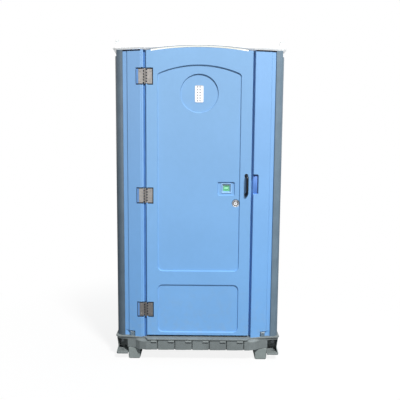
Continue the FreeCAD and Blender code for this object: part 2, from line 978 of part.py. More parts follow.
def header():
    half = door_half_width + hinge_edge_gap
    high = wall_top
    low = high - header_height
    bar = box(-half, half, stop_back, stop_back + header_depth, low, high)
    hollow = box(-half, half, stop_back + jamb_sheet, stop_back + header_depth - jamb_sheet,
                 low + jamb_sheet, high - jamb_sheet)
    return bar.cut(hollow)


def threshold():
    half = door_half_width + hinge_edge_gap
    profile = [(stop_back, base_top, 0), (stop_back + threshold_depth, base_top, 0),
               (stop_back + threshold_depth, base_top + floor_thickness, 2.0),
               (stop_back + 14.0, base_top + threshold_height, 3.0),
               (stop_back, base_top + threshold_height, 2.0)]
    return across(profile, -half, half)


# Posts and walls


def front_post(nose_x):
    # a deep round towards the side, and slots for the edges of the jamb and of the side panel
    slope = jamb_setback / (post_inner - nose_x)
    y = post_line
    inner = post_outer - post_bar
    corners = [
        (post_inner, y - post_lead, 1.5),
        (post_outer, y - post_lead, post_round),
        (post_outer, front_wall_end, 1.5),
        (inner, front_wall_end, 1.5),
        (inner, y + 2 * post_bar, 6.0),
        (post_inner, y + post_bar - post_lead, 1.5),
    ]
    post = upright(corners, base_top, jamb_top)
    notch = box(rim_inner - post_notch_play, post_outer + 1.0, -base_half_depth, 0,
                wall_top - post_notch_height,
                jamb_top + 1.0)
    post = post.cut(notch)
    start = (post_inner - 5.0, post_line - 5.0 * slope + jamb_step)
    end = (post_inner + slot_depth, post_line + slot_depth * slope + jamb_step)
    low = -slot_play
    high = jamb_sheet + slot_play
    along = Vector(end[0] - start[0], end[1] - start[1], 0).normalize()
    n = Vector(-along.y, along.x, 0)
    slot = [(start[0] + n.x * low, start[1] + n.y * low, 0), (end[0] + n.x * low, end[1] + n.y * low, 0),
            (end[0] + n.x * high, end[1] + n.y * high, 0), (start[0] + n.x * high, start[1] + n.y * high, 0)]
    post = post.cut(upright(slot, base_top - 1.0, jamb_top + 1.0))
    wall = box(wall_outer - wall_sheet - slot_play, wall_outer + slot_play, front_wall_end - slot_depth,
               front_wall_end + 5.0, base_top - 1.0, jamb_top + 1.0)
    return post.cut(wall)


def rear_post():
    # an angle round the rear corner, set back at the top where the rim of the roof laps over it
    inner = post_outer - post_bar
    back = rear_outer
    arm = post_outer - post_inner
    corners = [
        (post_outer, back - arm, 1.5), (post_outer, back, 26.0), (post_inner, back, 1.5),
        (post_inner, back - post_bar, 1.5), (inner, back - post_bar, 6.0), (inner, back - arm, 1.5),
    ]
    notch_low = wall_top - post_notch_height
    post = upright(corners, base_top, notch_low)
    inside_rim = inset(roof_corners(), rim_slope + roof_sheet + post_notch_play)
    post = post.fuse(upright(corners, notch_low, wall_top).common(upright(inside_rim, notch_low, wall_top)))
    low = base_top - 1.0
    high = wall_top + 1.0
    sheet = wall_sheet + slot_play
    side_slot = box(wall_outer - sheet, wall_outer + slot_play, back - arm - 5.0, back - arm + slot_depth,
                    low, high)
    rear_slot = box(post_inner - 5.0, post_inner + slot_depth, rear_wall - sheet, rear_wall + slot_play, low,
                    high)
    return post.removeSplitter().cut(side_slot).cut(rear_slot)


def fluted(width_from, width_to, place, sheet_face, way):
    # row of raised flutes on a wall sheet: the raised forms, and the hollows inside them
    raised = []
    hollows = []
    pitch = (width_to - width_from) / flute_count
    half = pitch * flute_share / 2
    low = base_top + flute_rise
    high = wall_top - flute_top_gap
    for i in range(flute_count):
        middle = width_from + (i + 0.5) * pitch
        corners = block(middle - half, middle + half, low, high, flute_corner)
        raised.append(funnel(corners, place, sheet_face, sheet_face + way * flute_height, flute_draft))
        hollows.append(funnel(inset(corners, wall_sheet), place, sheet_face - way * wall_sheet,
                              sheet_face + way * (flute_height - wall_sheet), flute_draft))
    return raised, hollows


def vent_places():
    first = front_wall_end
    last = rear_outer - (post_outer - post_inner)
    quarter = (last - first) / 4
    top = wall_top - vent_top_gap
    return [(first + quarter * k - vent_width / 2, first + quarter * k + vent_width / 2, top - vent_height,
             top)
            for k in (1, 3)]


def side_panel():
    first = front_wall_end
    last = rear_outer - (post_outer - post_inner)
    near = first - slot_depth + 2.0
    far = last + slot_depth - 2.0
    sheet = box(wall_outer - wall_sheet, wall_outer, near, far, base_top, wall_top)
    raised, hollows = fluted(first, last, side, wall_outer, 1.0)
    panel = join([sheet] + raised)
    for hollow in hollows:
        panel = panel.cut(hollow)
    for y0, y1, z0, z1 in vent_places():
        panel = panel.cut(across(block(y0, y1, z0, z1, 8.0), wall_outer - 20.0, wall_outer + 20.0))
    return panel


def rear_panel():
    end = post_inner + slot_depth - 2.0
    sheet = box(-end, end, rear_wall - wall_sheet, rear_wall, base_top, wall_top)
    raised, hollows = fluted(-post_inner, post_inner, front, rear_wall, 1.0)
    panel = join([sheet] + raised)
    for hollow in hollows:
        panel = panel.cut(hollow)
    return panel


def vent_grilles():
    made = []
    for y0, y1, z0, z1 in vent_places():
        outer = block(y0 - vent_frame, y1 + vent_frame, z0 - vent_frame, z1 + vent_frame, 14.0)
        inner = block(y0 + vent_play + 3.0, y1 - vent_play - 3.0, z0 + vent_play + 3.0, z1 - vent_play - 3.0,
                      5.0)
        sleeve = block(y0 + vent_play, y1 - vent_play, z0 + vent_play, z1 - vent_play, 8.0)
        frame = across(outer, wall_outer, wall_outer + vent_frame_thickness)
        frame = frame.fuse(across(sleeve, wall_outer - wall_sheet - 2.0, wall_outer + 1.0))
        frame = frame.cut(across(inner, wall_outer - 20.0, wall_outer + 20.0))
        slats = []
        pitch = (z1 - z0 - 6.0) / vent_slats
        for i in range(vent_slats):
            z = z0 + 3.0 + pitch * (i + 0.35)
            lean = [(wall_outer - wall_sheet, z + pitch * 0.45), (wall_outer + vent_frame_thickness, z - 1.0)]
            points = [Vector(lean[0][0], y0 + 2.0, lean[0][1]), Vector(lean[1][0], y0 + 2.0, lean[1][1]),
                      Vector(lean[1][0], y0 + 2.0, lean[1][1] + vent_slat_thickness),
                      Vector(lean[0][0], y0 + 2.0, lean[0][1] + vent_slat_thickness)]
            wire = Part.makePolygon(points + points[:1])
            slats.append(Part.Face(wire).extrude(Vector(0, y1 - y0 - 4.0, 0)))
        grille = join([frame] + slats)
        made += [grille, mirrored(grille)]
    return group(made)


# Roof


def roof_corners():
    half = roof_half_width
    bay = door_half_width + roof_bay_reach
    right = [(bay, roof_front_inset - base_half_depth, 30.0), (half, roof_wing, roof_corner)]
    left = [(-u, v, radius) for u, v, radius in reversed(right)]
    return right + [(half, base_half_depth, roof_rear_corner),
                    (-half, base_half_depth, roof_rear_corner)] + left


def roof_form(by, low):
    # outside of the roof, or the same drawn in by the thickness of its sheet
    share = (rim_top - low) / (rim_top - wall_top + rim_lap)
    top_ring = inset(roof_corners(), by)
    low_ring = inset(roof_corners(), by + rim_slope * share)
    rim = Part.makeLoft([outline(low_ring, plan(low)), outline(top_ring, plan(rim_top))], True, True)
    cap = upright(top_ring, rim_top, crown_top + 20.0)
    ball = Part.makeSphere(crown_radius, Vector(0, crown_place, crown_top - crown_radius - by),
                           Vector(0, 0, 1), 60.0, 90.0)
    return rim, cap.common(ball)


def brow_cut(grow):
    # the space below the front of the roof: over the jambs, over the posts, and the arch over the door
    near = -base_half_depth - 50.0
    low = wall_top - 60.0
    high = jamb_top + grow
    level = box(-post_inner - grow, post_inner + grow, near, stop_back + grow, low, high)
    over_post = box(post_inner - 1.0, rim_inner - post_notch_play + grow, near,
                    front_wall_end + slot_play + grow,
                    low, high)
    edge = box(-roof_half_width - 50.0, roof_half_width + 50.0, near, roof_wing + rim_slope + grow, low, high)
    half = door_half_width + strike_gap
    top = door_top + roof_arch_gap + grow
    radius = door_arch_radius + roof_arch_flatter + roof_arch_gap + grow
    arch_space = arched((half + grow, wall_top - 100.0, top, radius, 2.0, 2.0), near, stop_back + grow)
    return level.fuse([over_post, mirrored(over_post), edge, arch_space])


def roof_lugs():
    rise = wall_top + rim_height
    made = []
    inner = roof_half_width - lug_inset - lug_width
    top = rise + lug_rise
    bend = lug_width / 2
    low = rise - 4.0
    for near in (roof_wing + 30.0, base_half_depth - 60.0 - lug_length):
        corners = [(inner, low, 0), (inner + lug_width, low, 0), (inner + lug_width, top, bend - 0.5),
                   (inner, top, bend - 0.5)]
        lug = through(corners, near, near + lug_length)
        eye = rod(lug_hole_radius, Vector(inner - 5.0, near + lug_length / 2, top - 20.0),
                  Vector(inner + lug_width + 5.0, near + lug_length / 2, top - 20.0))
        lug = lug.cut(eye)
        made += [lug, mirrored(lug)]
    return made


def vent_centre():
    return -pipe_side, rear_wall - pipe_rear_gap


def roof():
    rim, cap = roof_form(0.0, wall_top - rim_lap)
    outside = rim.fuse(cap).removeSplitter().cut(brow_cut(0.0))
    rim, cap = roof_form(roof_sheet, wall_top + roof_sheet)
    inside = rim.fuse(cap).removeSplitter().cut(brow_cut(roof_sheet))
    mouth = upright(inset(roof_corners(), rim_slope + roof_ledge), wall_top - 10.0,
                    wall_top + roof_sheet + 1.0)
    mouth = mouth.cut(brow_cut(roof_sheet))
    under = upright(inset(roof_corners(), rim_slope + roof_sheet), wall_top - rim_lap - 1.0, wall_top)
    shell = outside.cut(inside).cut(mouth).cut(under)
    shell = join([shell] + roof_lugs())
    x, y = vent_centre()
    return shell.cut(rod(pipe_radius + pipe_play, Vector(x, y, wall_top), Vector(x, y, crown_top + 50.0)))


# Hinges


def hinge_bottom_of(height):
    return height - knuckle_count * knuckle_pitch / 2


def rivet_places(sign):
    # sign is +1 on the door's leaf and -1 on the jamb's leaf
    x = hinge_x + sign * (leaf_width(sign) - rivet_edge)
    return [(x, height + k * rivet_spread) for height in hinge_heights for k in (-1, 1)]


def leaf_width(sign):
    return door_leaf_width if sign > 0 else jamb_leaf_width


def hinge_leaf(height, sign):
    # one leaf: a plate, and every second knuckle, wrapped round the pin
    low = hinge_bottom_of(height)
    plate_start = hinge_barrel_radius + knuckle_slot
    near = hinge_floor - leaf_thickness
    x0, x1 = sorted((hinge_x + sign * plate_start, hinge_x + sign * leaf_width(sign)))
    plate = box(x0, x1, near, hinge_floor, low, low + knuckle_count * knuckle_pitch)
    parts = [plate]
    first = 0 if sign > 0 else 1
    for k in range(first, knuckle_count, 2):
        z0 = low + k * knuckle_pitch + knuckle_play
        z1 = low + (k + 1) * knuckle_pitch - knuckle_play
        a0, a1 = sorted((hinge_x, hinge_x + sign * plate_start))
        parts.append(box(a0, a1, near, hinge_floor, z0, z1))
        parts.append(rod(hinge_barrel_radius, Vector(hinge_x, hinge_y, z0), Vector(hinge_x, hinge_y, z1)))
    leaf = join(parts)
    bore = rod(hinge_pin_radius + pin_play, Vector(hinge_x, hinge_y, low - 5.0),
               Vector(hinge_x, hinge_y, low + knuckle_count * knuckle_pitch + 5.0))
    leaf = leaf.cut(bore)
    for x, z in rivet_places(sign):
        if abs(z - height) < hinge_recess_height:
            leaf = leaf.cut(rod(rivet_radius, Vector(x, near - 5.0, z), Vector(x, hinge_floor + 5.0, z)))
    return leaf


def hinge_pin(height):
    low = hinge_bottom_of(height)
    high = low + knuckle_count * knuckle_pitch
    shaft = rod(hinge_pin_radius, Vector(hinge_x, hinge_y, low), Vector(hinge_x, hinge_y, high))
    heads = []
    for z, way in ((low, -1.0), (high, 1.0)):
        heads.append(Part.makeCone(pin_head_radius, pin_head_radius - 1.5, pin_head,
                                   Vector(hinge_x, hinge_y, z),
                                   Vector(0, 0, way)))
    return join([shaft] + heads)


def rivet(x, z, seat, back):
    # domed head on the leaf, shank through leaf and skin, and a tail behind
    head = Part.makeCone(rivet_head_radius, rivet_head_radius - 1.5, rivet_head, Vector(x, seat, z),
                         Vector(0, -1, 0))
    shank = rod(rivet_radius, Vector(x, seat, z), Vector(x, back, z))
    tail = rod(rivet_radius + 1.5, Vector(x, back, z), Vector(x, back + rivet_tail, z))
    return join([head, shank, tail])


def hinge_rivets(sign, sheet):
    seat = hinge_floor - leaf_thickness
    return group([rivet(x, z, seat, hinge_floor + sheet) for x, z in rivet_places(sign)])


# Door


def dish_corners(grow=0.0):
    x = latch_place + dish_shift
    z = latch_height - dish_drop
    return block(x - dish_width / 2 - grow, x + dish_width / 2 + grow, z - dish_height / 2 - grow,
                 z + dish_height / 2 + grow, dish_corner + grow)


def window_corners(grow=0.0):
    return block(latch_place - window_width / 2 - grow, latch_place + window_width / 2 + grow,
                 latch_height - window_height / 2 - grow, latch_height + window_height / 2 + grow,
                 window_draft + 2.0 + grow)


def lower_field(grow=0.0):
    half = door_half_width - field_margin
    low = door_bottom + lower_field_rise
    return block(-half - grow, half + grow, low - grow, low + lower_field_height + grow, field_corner + grow)


def door_outer_skin():
    body = arched(arch(), door_face, door_middle)
    rim = [edge for edge in body.Edges if all(abs(v.Y - door_face) < 1e-4 for v in edge.Vertexes)]
    body = body.makeFillet(door_edge_round, rim)
    hollow = arched(arch(skin), door_face + skin, door_middle)
    level = door_face + field_depth
    dish_floor = level + dish_depth
    cuts = [
        arched_funnel(upper_field(), upper_field(field_draft), door_face, level),
        funnel(lower_field(), front, door_face, level, field_draft),
        cone_recess(0, medallion_height, medallion_radius, medallion_draft, level, level + medallion_depth),
        funnel(dish_corners(), front, level, dish_floor, dish_draft),
        cone_recess(lock_place, lock_height, lock_dish_radius, lock_dish_draft, level,
                    level + lock_dish_depth),
        rod(lock_dish_radius, lock_centre(door_face), lock_centre(level)),
    ]
    grown = [
        arched_funnel(upper_field(-skin), upper_field(field_draft - skin), door_face, level + skin),
        funnel(lower_field(skin), front, door_face, level + skin, field_draft),
        cone_recess(0, medallion_height, medallion_radius + skin, medallion_draft, level,
                    level + medallion_depth + skin),
        funnel(dish_corners(skin), front, level, dish_floor + skin, dish_draft),
        cone_recess(lock_place, lock_height, lock_dish_radius + skin, lock_dish_draft, level,
                    level + lock_dish_depth + skin),
        through(window_corners(skin), dish_floor, door_middle),
    ]
    recess_end = hinge_x + door_recess_reach
    trough_end = hinge_x + hinge_barrel_radius + knuckle_slot + knuckle_trough_play
    cuts += hinge_recess(hinge_x - 20.0, recess_end, 0) + knuckle_troughs(hinge_x - 20.0, trough_end, 0)
    grown += hinge_recess(hinge_x - 20.0, recess_end + skin, skin)
    grown += knuckle_troughs(hinge_x - 20.0, trough_end + skin, skin)
    for shape in grown:
        hollow = hollow.cut(shape)
    for shape in cuts:
        body = body.cut(shape)
    shell = body.cut(hollow)
    shell = shell.cut(funnel(window_corners(), front, dish_floor, door_middle, window_draft))
    far = Vector(0, 60.0, 0)
    centre = Vector(lock_place, door_face, lock_height)
    shell = shell.cut(rod(lock_barrel_radius + lock_hole_play, centre, centre + far))
    for x, z in rivet_places(1):
        shell = shell.cut(rod(rivet_radius + 0.2, Vector(x, door_face, z), Vector(x, door_middle, z)))
    for z in handle_ends():
        shell = shell.cut(rod(handle_screw_radius, Vector(handle_place, door_face, z),
                              Vector(handle_place, door_middle, z)))
    return shell


def neck_slot(grow):
    left = neck_left() - grow
    right = neck_left() + neck_width + latch_travel + grow
    return block(left, right, latch_height - neck_height / 2 - grow, latch_height + neck_height / 2 + grow,
                 3.0)


def door_inner_skin():
    body = arched(arch(), door_middle, door_back)
    hollow = arched(arch(skin), door_middle, door_back - skin)
    half = door_half_width - inner_field_margin
    split = upper_field_low - field_gap / 2
    low = block(-half, half, door_bottom + inner_field_margin, split - 100.0, 40.0)
    mid = block(-half, half, split, latch_height - 190.0, 40.0)
    high = block(-half, half, latch_height + 150.0, door_top - 2.6 * inner_field_margin, 40.0)
    for field in (low, mid, high):
        grown = funnel(inset(field, -skin), front, door_back, door_back - inner_field_depth - skin, 6.0)
        hollow = hollow.cut(grown)
        body = body.cut(funnel(field, front, door_back, door_back - inner_field_depth, 6.0))
    shell = body.cut(hollow)
    shell = shell.cut(through(neck_slot(neck_play), door_middle, door_back + 5.0))
    centre = Vector(lock_place, door_middle, lock_height)
    return shell.cut(rod(lock_barrel_radius + lock_hole_play, centre, centre + Vector(0, 40.0, 0)))


def handle_ends():
    return [handle_height - handle_span / 2, handle_height + handle_span / 2]


def handle():
    # flat oval bar bent to a bow that stands off the door and leans to the right
    low, high = handle_ends()
    long = math.hypot(handle_lean, handle_reach)
    out = Vector(handle_lean / long, -handle_reach / long, 0)
    away = Vector(-out.y, out.x, 0)
    up = Vector(0, 0, 1)
    foot = Vector(handle_place, door_face, low)
    head = Vector(handle_place, door_face, high)
    grip = long - handle_half_depth
    straight = grip - handle_bend
    near = handle_bend * (1 - math.sqrt(0.5))
    points = [foot, foot + out * straight, foot + out * (grip - near) + up * near,
              foot + out * grip + up * handle_bend,
              head + out * grip - up * handle_bend, head + out * (grip - near) - up * near,
              head + out * straight, head]
    path = Part.Wire([
        Part.LineSegment(points[0], points[1]).toShape(),
        Part.Arc(points[1], points[2], points[3]).toShape(),
        Part.LineSegment(points[3], points[4]).toShape(),
        Part.Arc(points[4], points[5], points[6]).toShape(),
        Part.LineSegment(points[6], points[7]).toShape(),
    ])
    oval = Part.Ellipse(foot + away * handle_half_width, foot + up * handle_half_depth, foot)
    bow = path.makePipeShell([Part.Wire([oval.toShape()])], True, False)
    pads = []
    for z in (low, high):
        corners = block(handle_place - handle_pad_width / 2, handle_place + handle_pad_width / 2,
                        z - handle_pad_height / 2, z + handle_pad_height / 2, handle_pad_width / 2 - 1.5)
        pads.append(through(corners, door_face - handle_pad, door_face))
    whole = join([bow] + pads)
    whole = whole.cut(box(handle_place - 60.0, handle_place + 60.0, door_face, door_face + 60.0, low - 60.0,
                          high + 60.0))
    for z in (low, high):
        whole = whole.cut(rod(handle_screw_radius, Vector(handle_place, door_face - 4.0, z),
                              Vector(handle_place, door_face + 1.0, z)))
    return whole


def handle_screws():
    # from behind the outer skin into the ends of the bow
    made = []
    for z in handle_ends():
        back = door_face + skin
        shank = rod(handle_screw_radius, Vector(handle_place, door_face - 4.0, z),
                    Vector(handle_place, back, z))
        head = rod(handle_screw_radius + 2.5, Vector(handle_place, back, z),
                   Vector(handle_place, back + 2.5, z))
        made.append(shank.fuse(head).removeSplitter())
    return group(made)


def neck_left():
    # the neck joins the middle of the flag to the bolt
    return latch_place - latch_travel / 2 - neck_width / 2


def bolt_face():
    return stop_back + strike_plate_thickness + bolt_strike_gap


def bolt_tip():
    return stop_edge - 4.0


def bolt_low():
    return latch_height - bolt_height / 2


def latch_bolt():
    face = bolt_face()
    back = face + bolt_thickness
    left = neck_left() - bolt_back
    bar = through(block(left, bolt_tip(), bolt_low(), bolt_low() + bolt_height, 2.0), face, back)
    flag_back = door_middle + flag_gap + flag_thickness
    neck = through(block(neck_left(), neck_left() + neck_width, latch_height - neck_height / 2,
                         latch_height + neck_height / 2, 2.0), flag_back, face)
    centre = Vector(neck_left() + neck_width / 2, back, latch_height)
    stem_half = bolt_height / 2 - case_lip - 1.0
    stem = box(centre.x - stem_half, centre.x + stem_half, back, back + 6.0, latch_height - stem_half,
               latch_height + stem_half)
    knob = Part.makeCone(knob_radius, knob_radius - 2.0, knob_length, centre + Vector(0, 6.0, 0),
                         Vector(0, 1, 0))
    return join([bar, neck, stem, knob])


def indicator_flag():
    # two halves side by side: one shows when free, the other when the bolt is out
    left = latch_place - latch_travel * 1.5
    near = door_middle + flag_gap
    corners = block(left, left + 2 * latch_travel, latch_height - latch_travel / 2 - 3.0,
                    latch_height + latch_travel / 2 + 3.0, 2.0)
    return through(corners, near, near + flag_thickness)


def latch_case():
    face = bolt_face()
    back = face + bolt_thickness
    left = neck_left() - bolt_back - 6.0
    right = stop_edge - case_edge_gap
    low = bolt_low()
    high = low + bolt_height
    plate = through(block(left - 12.0, right, low - case_margin, high + case_margin, 8.0), door_back,
                    door_back + case_plate)
    plate = plate.cut(through(neck_slot(neck_play), door_back - 1.0, door_back + case_plate + 1.0))
    parts = [plate]
    lip_face = back + bolt_play
    end = right - case_rail_inset
    for wall_low, lip_low in ((high + bolt_play, high - case_lip),
                              (low - case_wall - bolt_play, low - bolt_play)):
        parts.append(box(left, end, door_back + case_plate, lip_face + case_lip_thickness, wall_low,
                         wall_low + case_wall))
        parts.append(box(left, end, lip_face, lip_face + case_lip_thickness, lip_low,
                         lip_low + case_lip + bolt_play))
    case = join(parts)
    for x, z in case_screw_places():
        case = case.cut(rod(case_screw_radius, Vector(x, door_back - 1.0, z), Vector(x, door_back + 10.0, z)))
    return case


def case_screw_places():
    left = neck_left() - bolt_back - 6.0 - 12.0 + case_screw_inset
    right = stop_edge - case_edge_gap - case_screw_inset
    low = bolt_low() - case_margin + case_screw_inset
    high = bolt_low() + bolt_height + case_margin - case_screw_inset
    return [(x, z) for x in (left, right) for z in (low, high)]


def latch_screws():
    made = []
    for x, z in case_screw_places():
        seat = door_back + case_plate
        head = Part.makeCone(case_screw_head, case_screw_head - 1.5, 2.0, Vector(x, seat, z), Vector(0, 1, 0))
        shank = rod(case_screw_radius, Vector(x, door_back, z), Vector(x, seat, z))
        made.append(head.fuse(shank).removeSplitter())
    return group(made)


def strike_plate():
    left = stop_edge + 0.5
    right = door_half_width + strike_gap - 3.0
    corners = block(left, right, latch_height - strike_plate_height / 2,
                    latch_height + strike_plate_height / 2, 3.0)
    return through(corners, stop_back, stop_back + strike_plate_thickness)


def lock_centre(depth):
    return Vector(lock_place, depth, lock_height)


def cam_face():
    return bolt_face() + cam_gap


def lock_barrel():
    seat = panel_floor + lock_dish_depth
    along = Vector(0, 1, 0)
    rosette = Part.makeCone(rosette_radius - 4.0, rosette_radius, rosette_thickness,
                            lock_centre(seat - rosette_thickness), along)
    dish = Part.makeCone(rosette_radius - 8.0, rosette_radius - 12.0, 1.6,
                         lock_centre(seat - rosette_thickness), along)
    tube = rod(lock_barrel_radius, lock_centre(seat), lock_centre(cam_face() - cam_seat))
    bore = rod(plug_radius + plug_play, lock_centre(seat - 20.0), lock_centre(door_back + 40.0))
    return rosette.cut(dish).fuse(tube).removeSplitter().cut(bore)


def lock_nut():
    hexagon = hex_head(nut_radius, lock_centre(door_back), Vector(0, 1, 0), nut_thickness)
    return hexagon.cut(rod(lock_barrel_radius, lock_centre(door_back - 1.0), lock_centre(door_back + 20.0)))


def lock_plug():
    seat = panel_floor + lock_dish_depth
    near = seat - rosette_thickness + 2.4
    plug = rod(plug_radius, lock_centre(near), lock_centre(cam_face()))
    slot = box(lock_place - key_slot_width / 2, lock_place + key_slot_width / 2, near - 1.0,
               near + key_slot_depth,
               lock_height - key_slot_length / 2, lock_height + key_slot_length / 2)
    return plug.cut(slot)


def lock_cam():
    # lever that hangs down when free, and reaches behind the door stop when turned
    length = stop_edge + cam_lap + 25.0 - lock_place
    half = cam_width / 2
    corners = block(lock_place - half, lock_place + half, lock_height - length, lock_height + half,
                    half - 0.5)
    return through(corners, cam_face(), cam_face() + cam_thickness)


def coat_hook():
    plate = through(block(-hook_plate_width / 2, hook_plate_width / 2, hook_height - hook_plate_height / 2,
                          hook_height + hook_plate_height / 2, 8.0),
                    door_back - inner_field_depth, door_back - inner_field_depth + hook_plate)
    seat = door_back - inner_field_depth + hook_plate / 2
    top = hook_height + hook_plate_height / 4
    out = seat + hook_reach
    bend = hook_reach / 2
    first = Part.LineSegment(Vector(0, seat, top), Vector(0, seat, top - hook_drop + bend)).toShape()
    turn = Part.Arc(Vector(0, seat, top - hook_drop + bend), Vector(0, seat + bend, top - hook_drop),
                    Vector(0, out, top - hook_drop + bend)).toShape()
    section = Part.Wire([Part.makeCircle(hook_wire, Vector(0, seat, top), Vector(0, 0, 1))])
    wire = Part.Wire([first, turn]).makePipeShell([section], True, True)
    tip = Part.makeSphere(hook_wire + 1.5, Vector(0, out, top - hook_drop + bend + 2.0))
    wire = wire.cut(box(-20.0, 20.0, door_back - inner_field_depth - 20.0, door_back - inner_field_depth,
                        hook_height - 80.0, hook_height + 80.0))
    return join([plate, wire, tip])


# Inside


def tank_section(by):
    near = rear_wall - wall_sheet - tank_rear_gap - tank_depth
    far = rear_wall - wall_sheet - tank_rear_gap
    high = floor_top + tank_height
    return [
        (near + tank_toe + by, floor_top + by, 0), (far - by, floor_top + by, 0), (far - by, high, 0),
        (near + by, high, 0), (near + by, floor_top + tank_toe_height, 0),
    ]


def tank_half():
    return wall_outer - wall_sheet - tank_side_gap


def tank():
    half = tank_half()
    keep = box(-half, half, -base_half_depth, base_half_depth, 0, 2000.0)
    outside = across(tank_section(0), -half, half).common(keep)
    inside = across(tank_section(tank_wall), tank_wall - half, half - tank_wall)
    shell = outside.cut(inside)
    relief = post_bar + 12.0
    far = rear_wall - wall_sheet - tank_rear_gap
    for sign in (-1, 1):
        corner = [(sign * half, far - relief, 0), (sign * half, far, 0), (sign * (half - relief), far, 0)]
        shell = shell.cut(upright(corner, 0, 2000.0))
        flat = [(sign * half, far - relief, 0), (sign * (half - relief), far, 0),
                (sign * (half - relief - tank_wall), far - tank_wall, 0),
                (sign * (half - tank_wall), far - relief - tank_wall, 0)]
        shell = shell.fuse(upright(flat, floor_top, floor_top + tank_height))
    return shell.removeSplitter()


def seat_centre():
    near = rear_wall - wall_sheet - tank_rear_gap - tank_depth
    return near + seat_front_gap + seat_half_depth


def tank_top():
    half = tank_half()
    near = rear_wall - wall_sheet - tank_rear_gap - tank_depth
    far = rear_wall - wall_sheet - tank_rear_gap
    low = floor_top + tank_height
    relief = post_bar + 12.0
    corners = [(-half, near - 10.0, 12.0), (half, near - 10.0, 12.0), (half, far - relief, 0),
               (half - relief, far, 0), (relief - half, far, 0), (-half, far - relief, 0)]
    plate = upright(corners, low, low + top_plate)
    y = seat_centre()
    pad = block(-plinth_half_width, plinth_half_width, y - seat_half_depth - 2.0, far - 6.0, 60.0)
    plinth = funnel(pad, plan, low + top_plate, low + top_plate + seat_plinth, 8.0)
    ears = []
    pivot = seat_pivot()
    for x in (-ear_spacing, ear_spacing):
        seat_top = low + top_plate + seat_plinth
        profile = [(pivot.y - 14.0, seat_top, 0), (pivot.y + 14.0, seat_top, 0),
                   (pivot.y + 10.0, pivot.z + 9.0, 8.0), (pivot.y - 10.0, pivot.z + 9.0, 8.0)]
        ears.append(across(profile, x - ear_thickness / 2, x + ear_thickness / 2))
    whole = join([plate, plinth] + ears)
    hole = block(-hole_half_width, hole_half_width, y - hole_half_depth, y + hole_half_depth,
                 hole_half_width - 1.0)
    whole = whole.cut(upright(hole, low - 5.0, low + 100.0))
    whole = whole.cut(rod(rod_radius, Vector(-200.0, pivot.y, pivot.z), Vector(200.0, pivot.y, pivot.z)))
    x, y = vent_centre()
    return whole.cut(rod(pipe_radius + pipe_play, Vector(x, y, low - 5.0), Vector(x, y, low + 50.0)))


def seat_pivot():
    low = floor_top + tank_height + top_plate + seat_plinth
    return Vector(0, seat_centre() + seat_half_depth - seat_back_trim + seat_pivot_gap, low + seat_pivot_rise)


def seat_hinge_rod():
    pivot = seat_pivot()
    end = ear_spacing + ear_thickness / 2 + 3.0
    return rod(rod_radius, Vector(-end, pivot.y, pivot.z), Vector(end, pivot.y, pivot.z))


def seat_corners(grow=0.0):
    y = seat_centre()
    return block(-seat_half_width - grow, seat_half_width + grow, y - seat_half_depth - grow,
                 y + seat_half_depth + grow - seat_back_trim, seat_half_width - 45.0)


def pivot_arms(inner, outer, low, high):
    # arms from the rear edge of the seat or lid to its eyes on the rod
    pivot = seat_pivot()
    rear = seat_centre() + seat_half_depth - 2 * seat_back_trim
    arms = []
    for sign in (-1, 1):
        left, right = sorted((sign * inner, sign * outer))
        arms.append(box(left, right, rear, pivot.y, low, high))
        eye = rod(rod_radius + 5.0, Vector(left, pivot.y, pivot.z), Vector(right, pivot.y, pivot.z))
        arms.append(eye)
    return arms


def seat():
    pivot = seat_pivot()
    low = floor_top + tank_height + top_plate + seat_plinth + seat_gap
    high = low + seat_thickness
    ring = upright(seat_corners(), low, high)
    top = [edge for edge in ring.Edges if all(abs(v.Z - high) < 1e-4 for v in edge.Vertexes)]
    ring = ring.makeFillet(6.0, top)
    ring = ring.cut(upright(inset(seat_corners(), seat_band), low - 5.0, high + 5.0))
    inner = ear_spacing - ear_thickness / 2 - ear_gap - 14.0
    arms = pivot_arms(inner, ear_spacing - ear_thickness / 2 - ear_gap, low + 6.0, high - 2.0)
    whole = join([ring] + arms)
    return whole.cut(rod(rod_radius + pin_play, Vector(-200.0, pivot.y, pivot.z),
                         Vector(200.0, pivot.y, pivot.z)))


def lid():
    # modelled shut, then tipped up to where it rests while open
    pivot = seat_pivot()
    low = floor_top + tank_height + top_plate + seat_plinth + seat_gap + seat_thickness + seat_gap
    plate = upright(seat_corners(), low, low + lid_thickness)
    top = [edge for edge in plate.Edges if all(abs(v.Z - low - lid_thickness) < 1e-4 for v in edge.Vertexes)]
    plate = plate.makeFillet(5.0, top)
    inner = ear_spacing - ear_thickness / 2 - 2 * ear_gap - 28.0
    parts = pivot_arms(inner, inner + 13.0, low, low + lid_thickness - 2.0)
    post = []
    for sign in (-1, 1):
        left, right = sorted((sign * inner, sign * (inner + 13.0)))
        post.append(box(left, right, pivot.y - rod_radius - 4.0, pivot.y, pivot.z, low + 2.0))
    whole = join([plate] + parts + post)
    whole = whole.cut(rod(rod_radius + pin_play, Vector(-200.0, pivot.y, pivot.z),
                          Vector(200.0, pivot.y, pivot.z)))
    whole.rotate(pivot, Vector(1, 0, 0), -lid_open_angle)
    return whole


def vent_pipe():
    x, y = vent_centre()
    low = floor_top + tank_height - 30.0
    high = crown_top + pipe_above
    tube = rod(pipe_radius, Vector(x, y, low), Vector(x, y, high))
    return tube.cut(rod(pipe_radius - pipe_wall, Vector(x, y, low - 5.0), Vector(x, y, high + 5.0)))


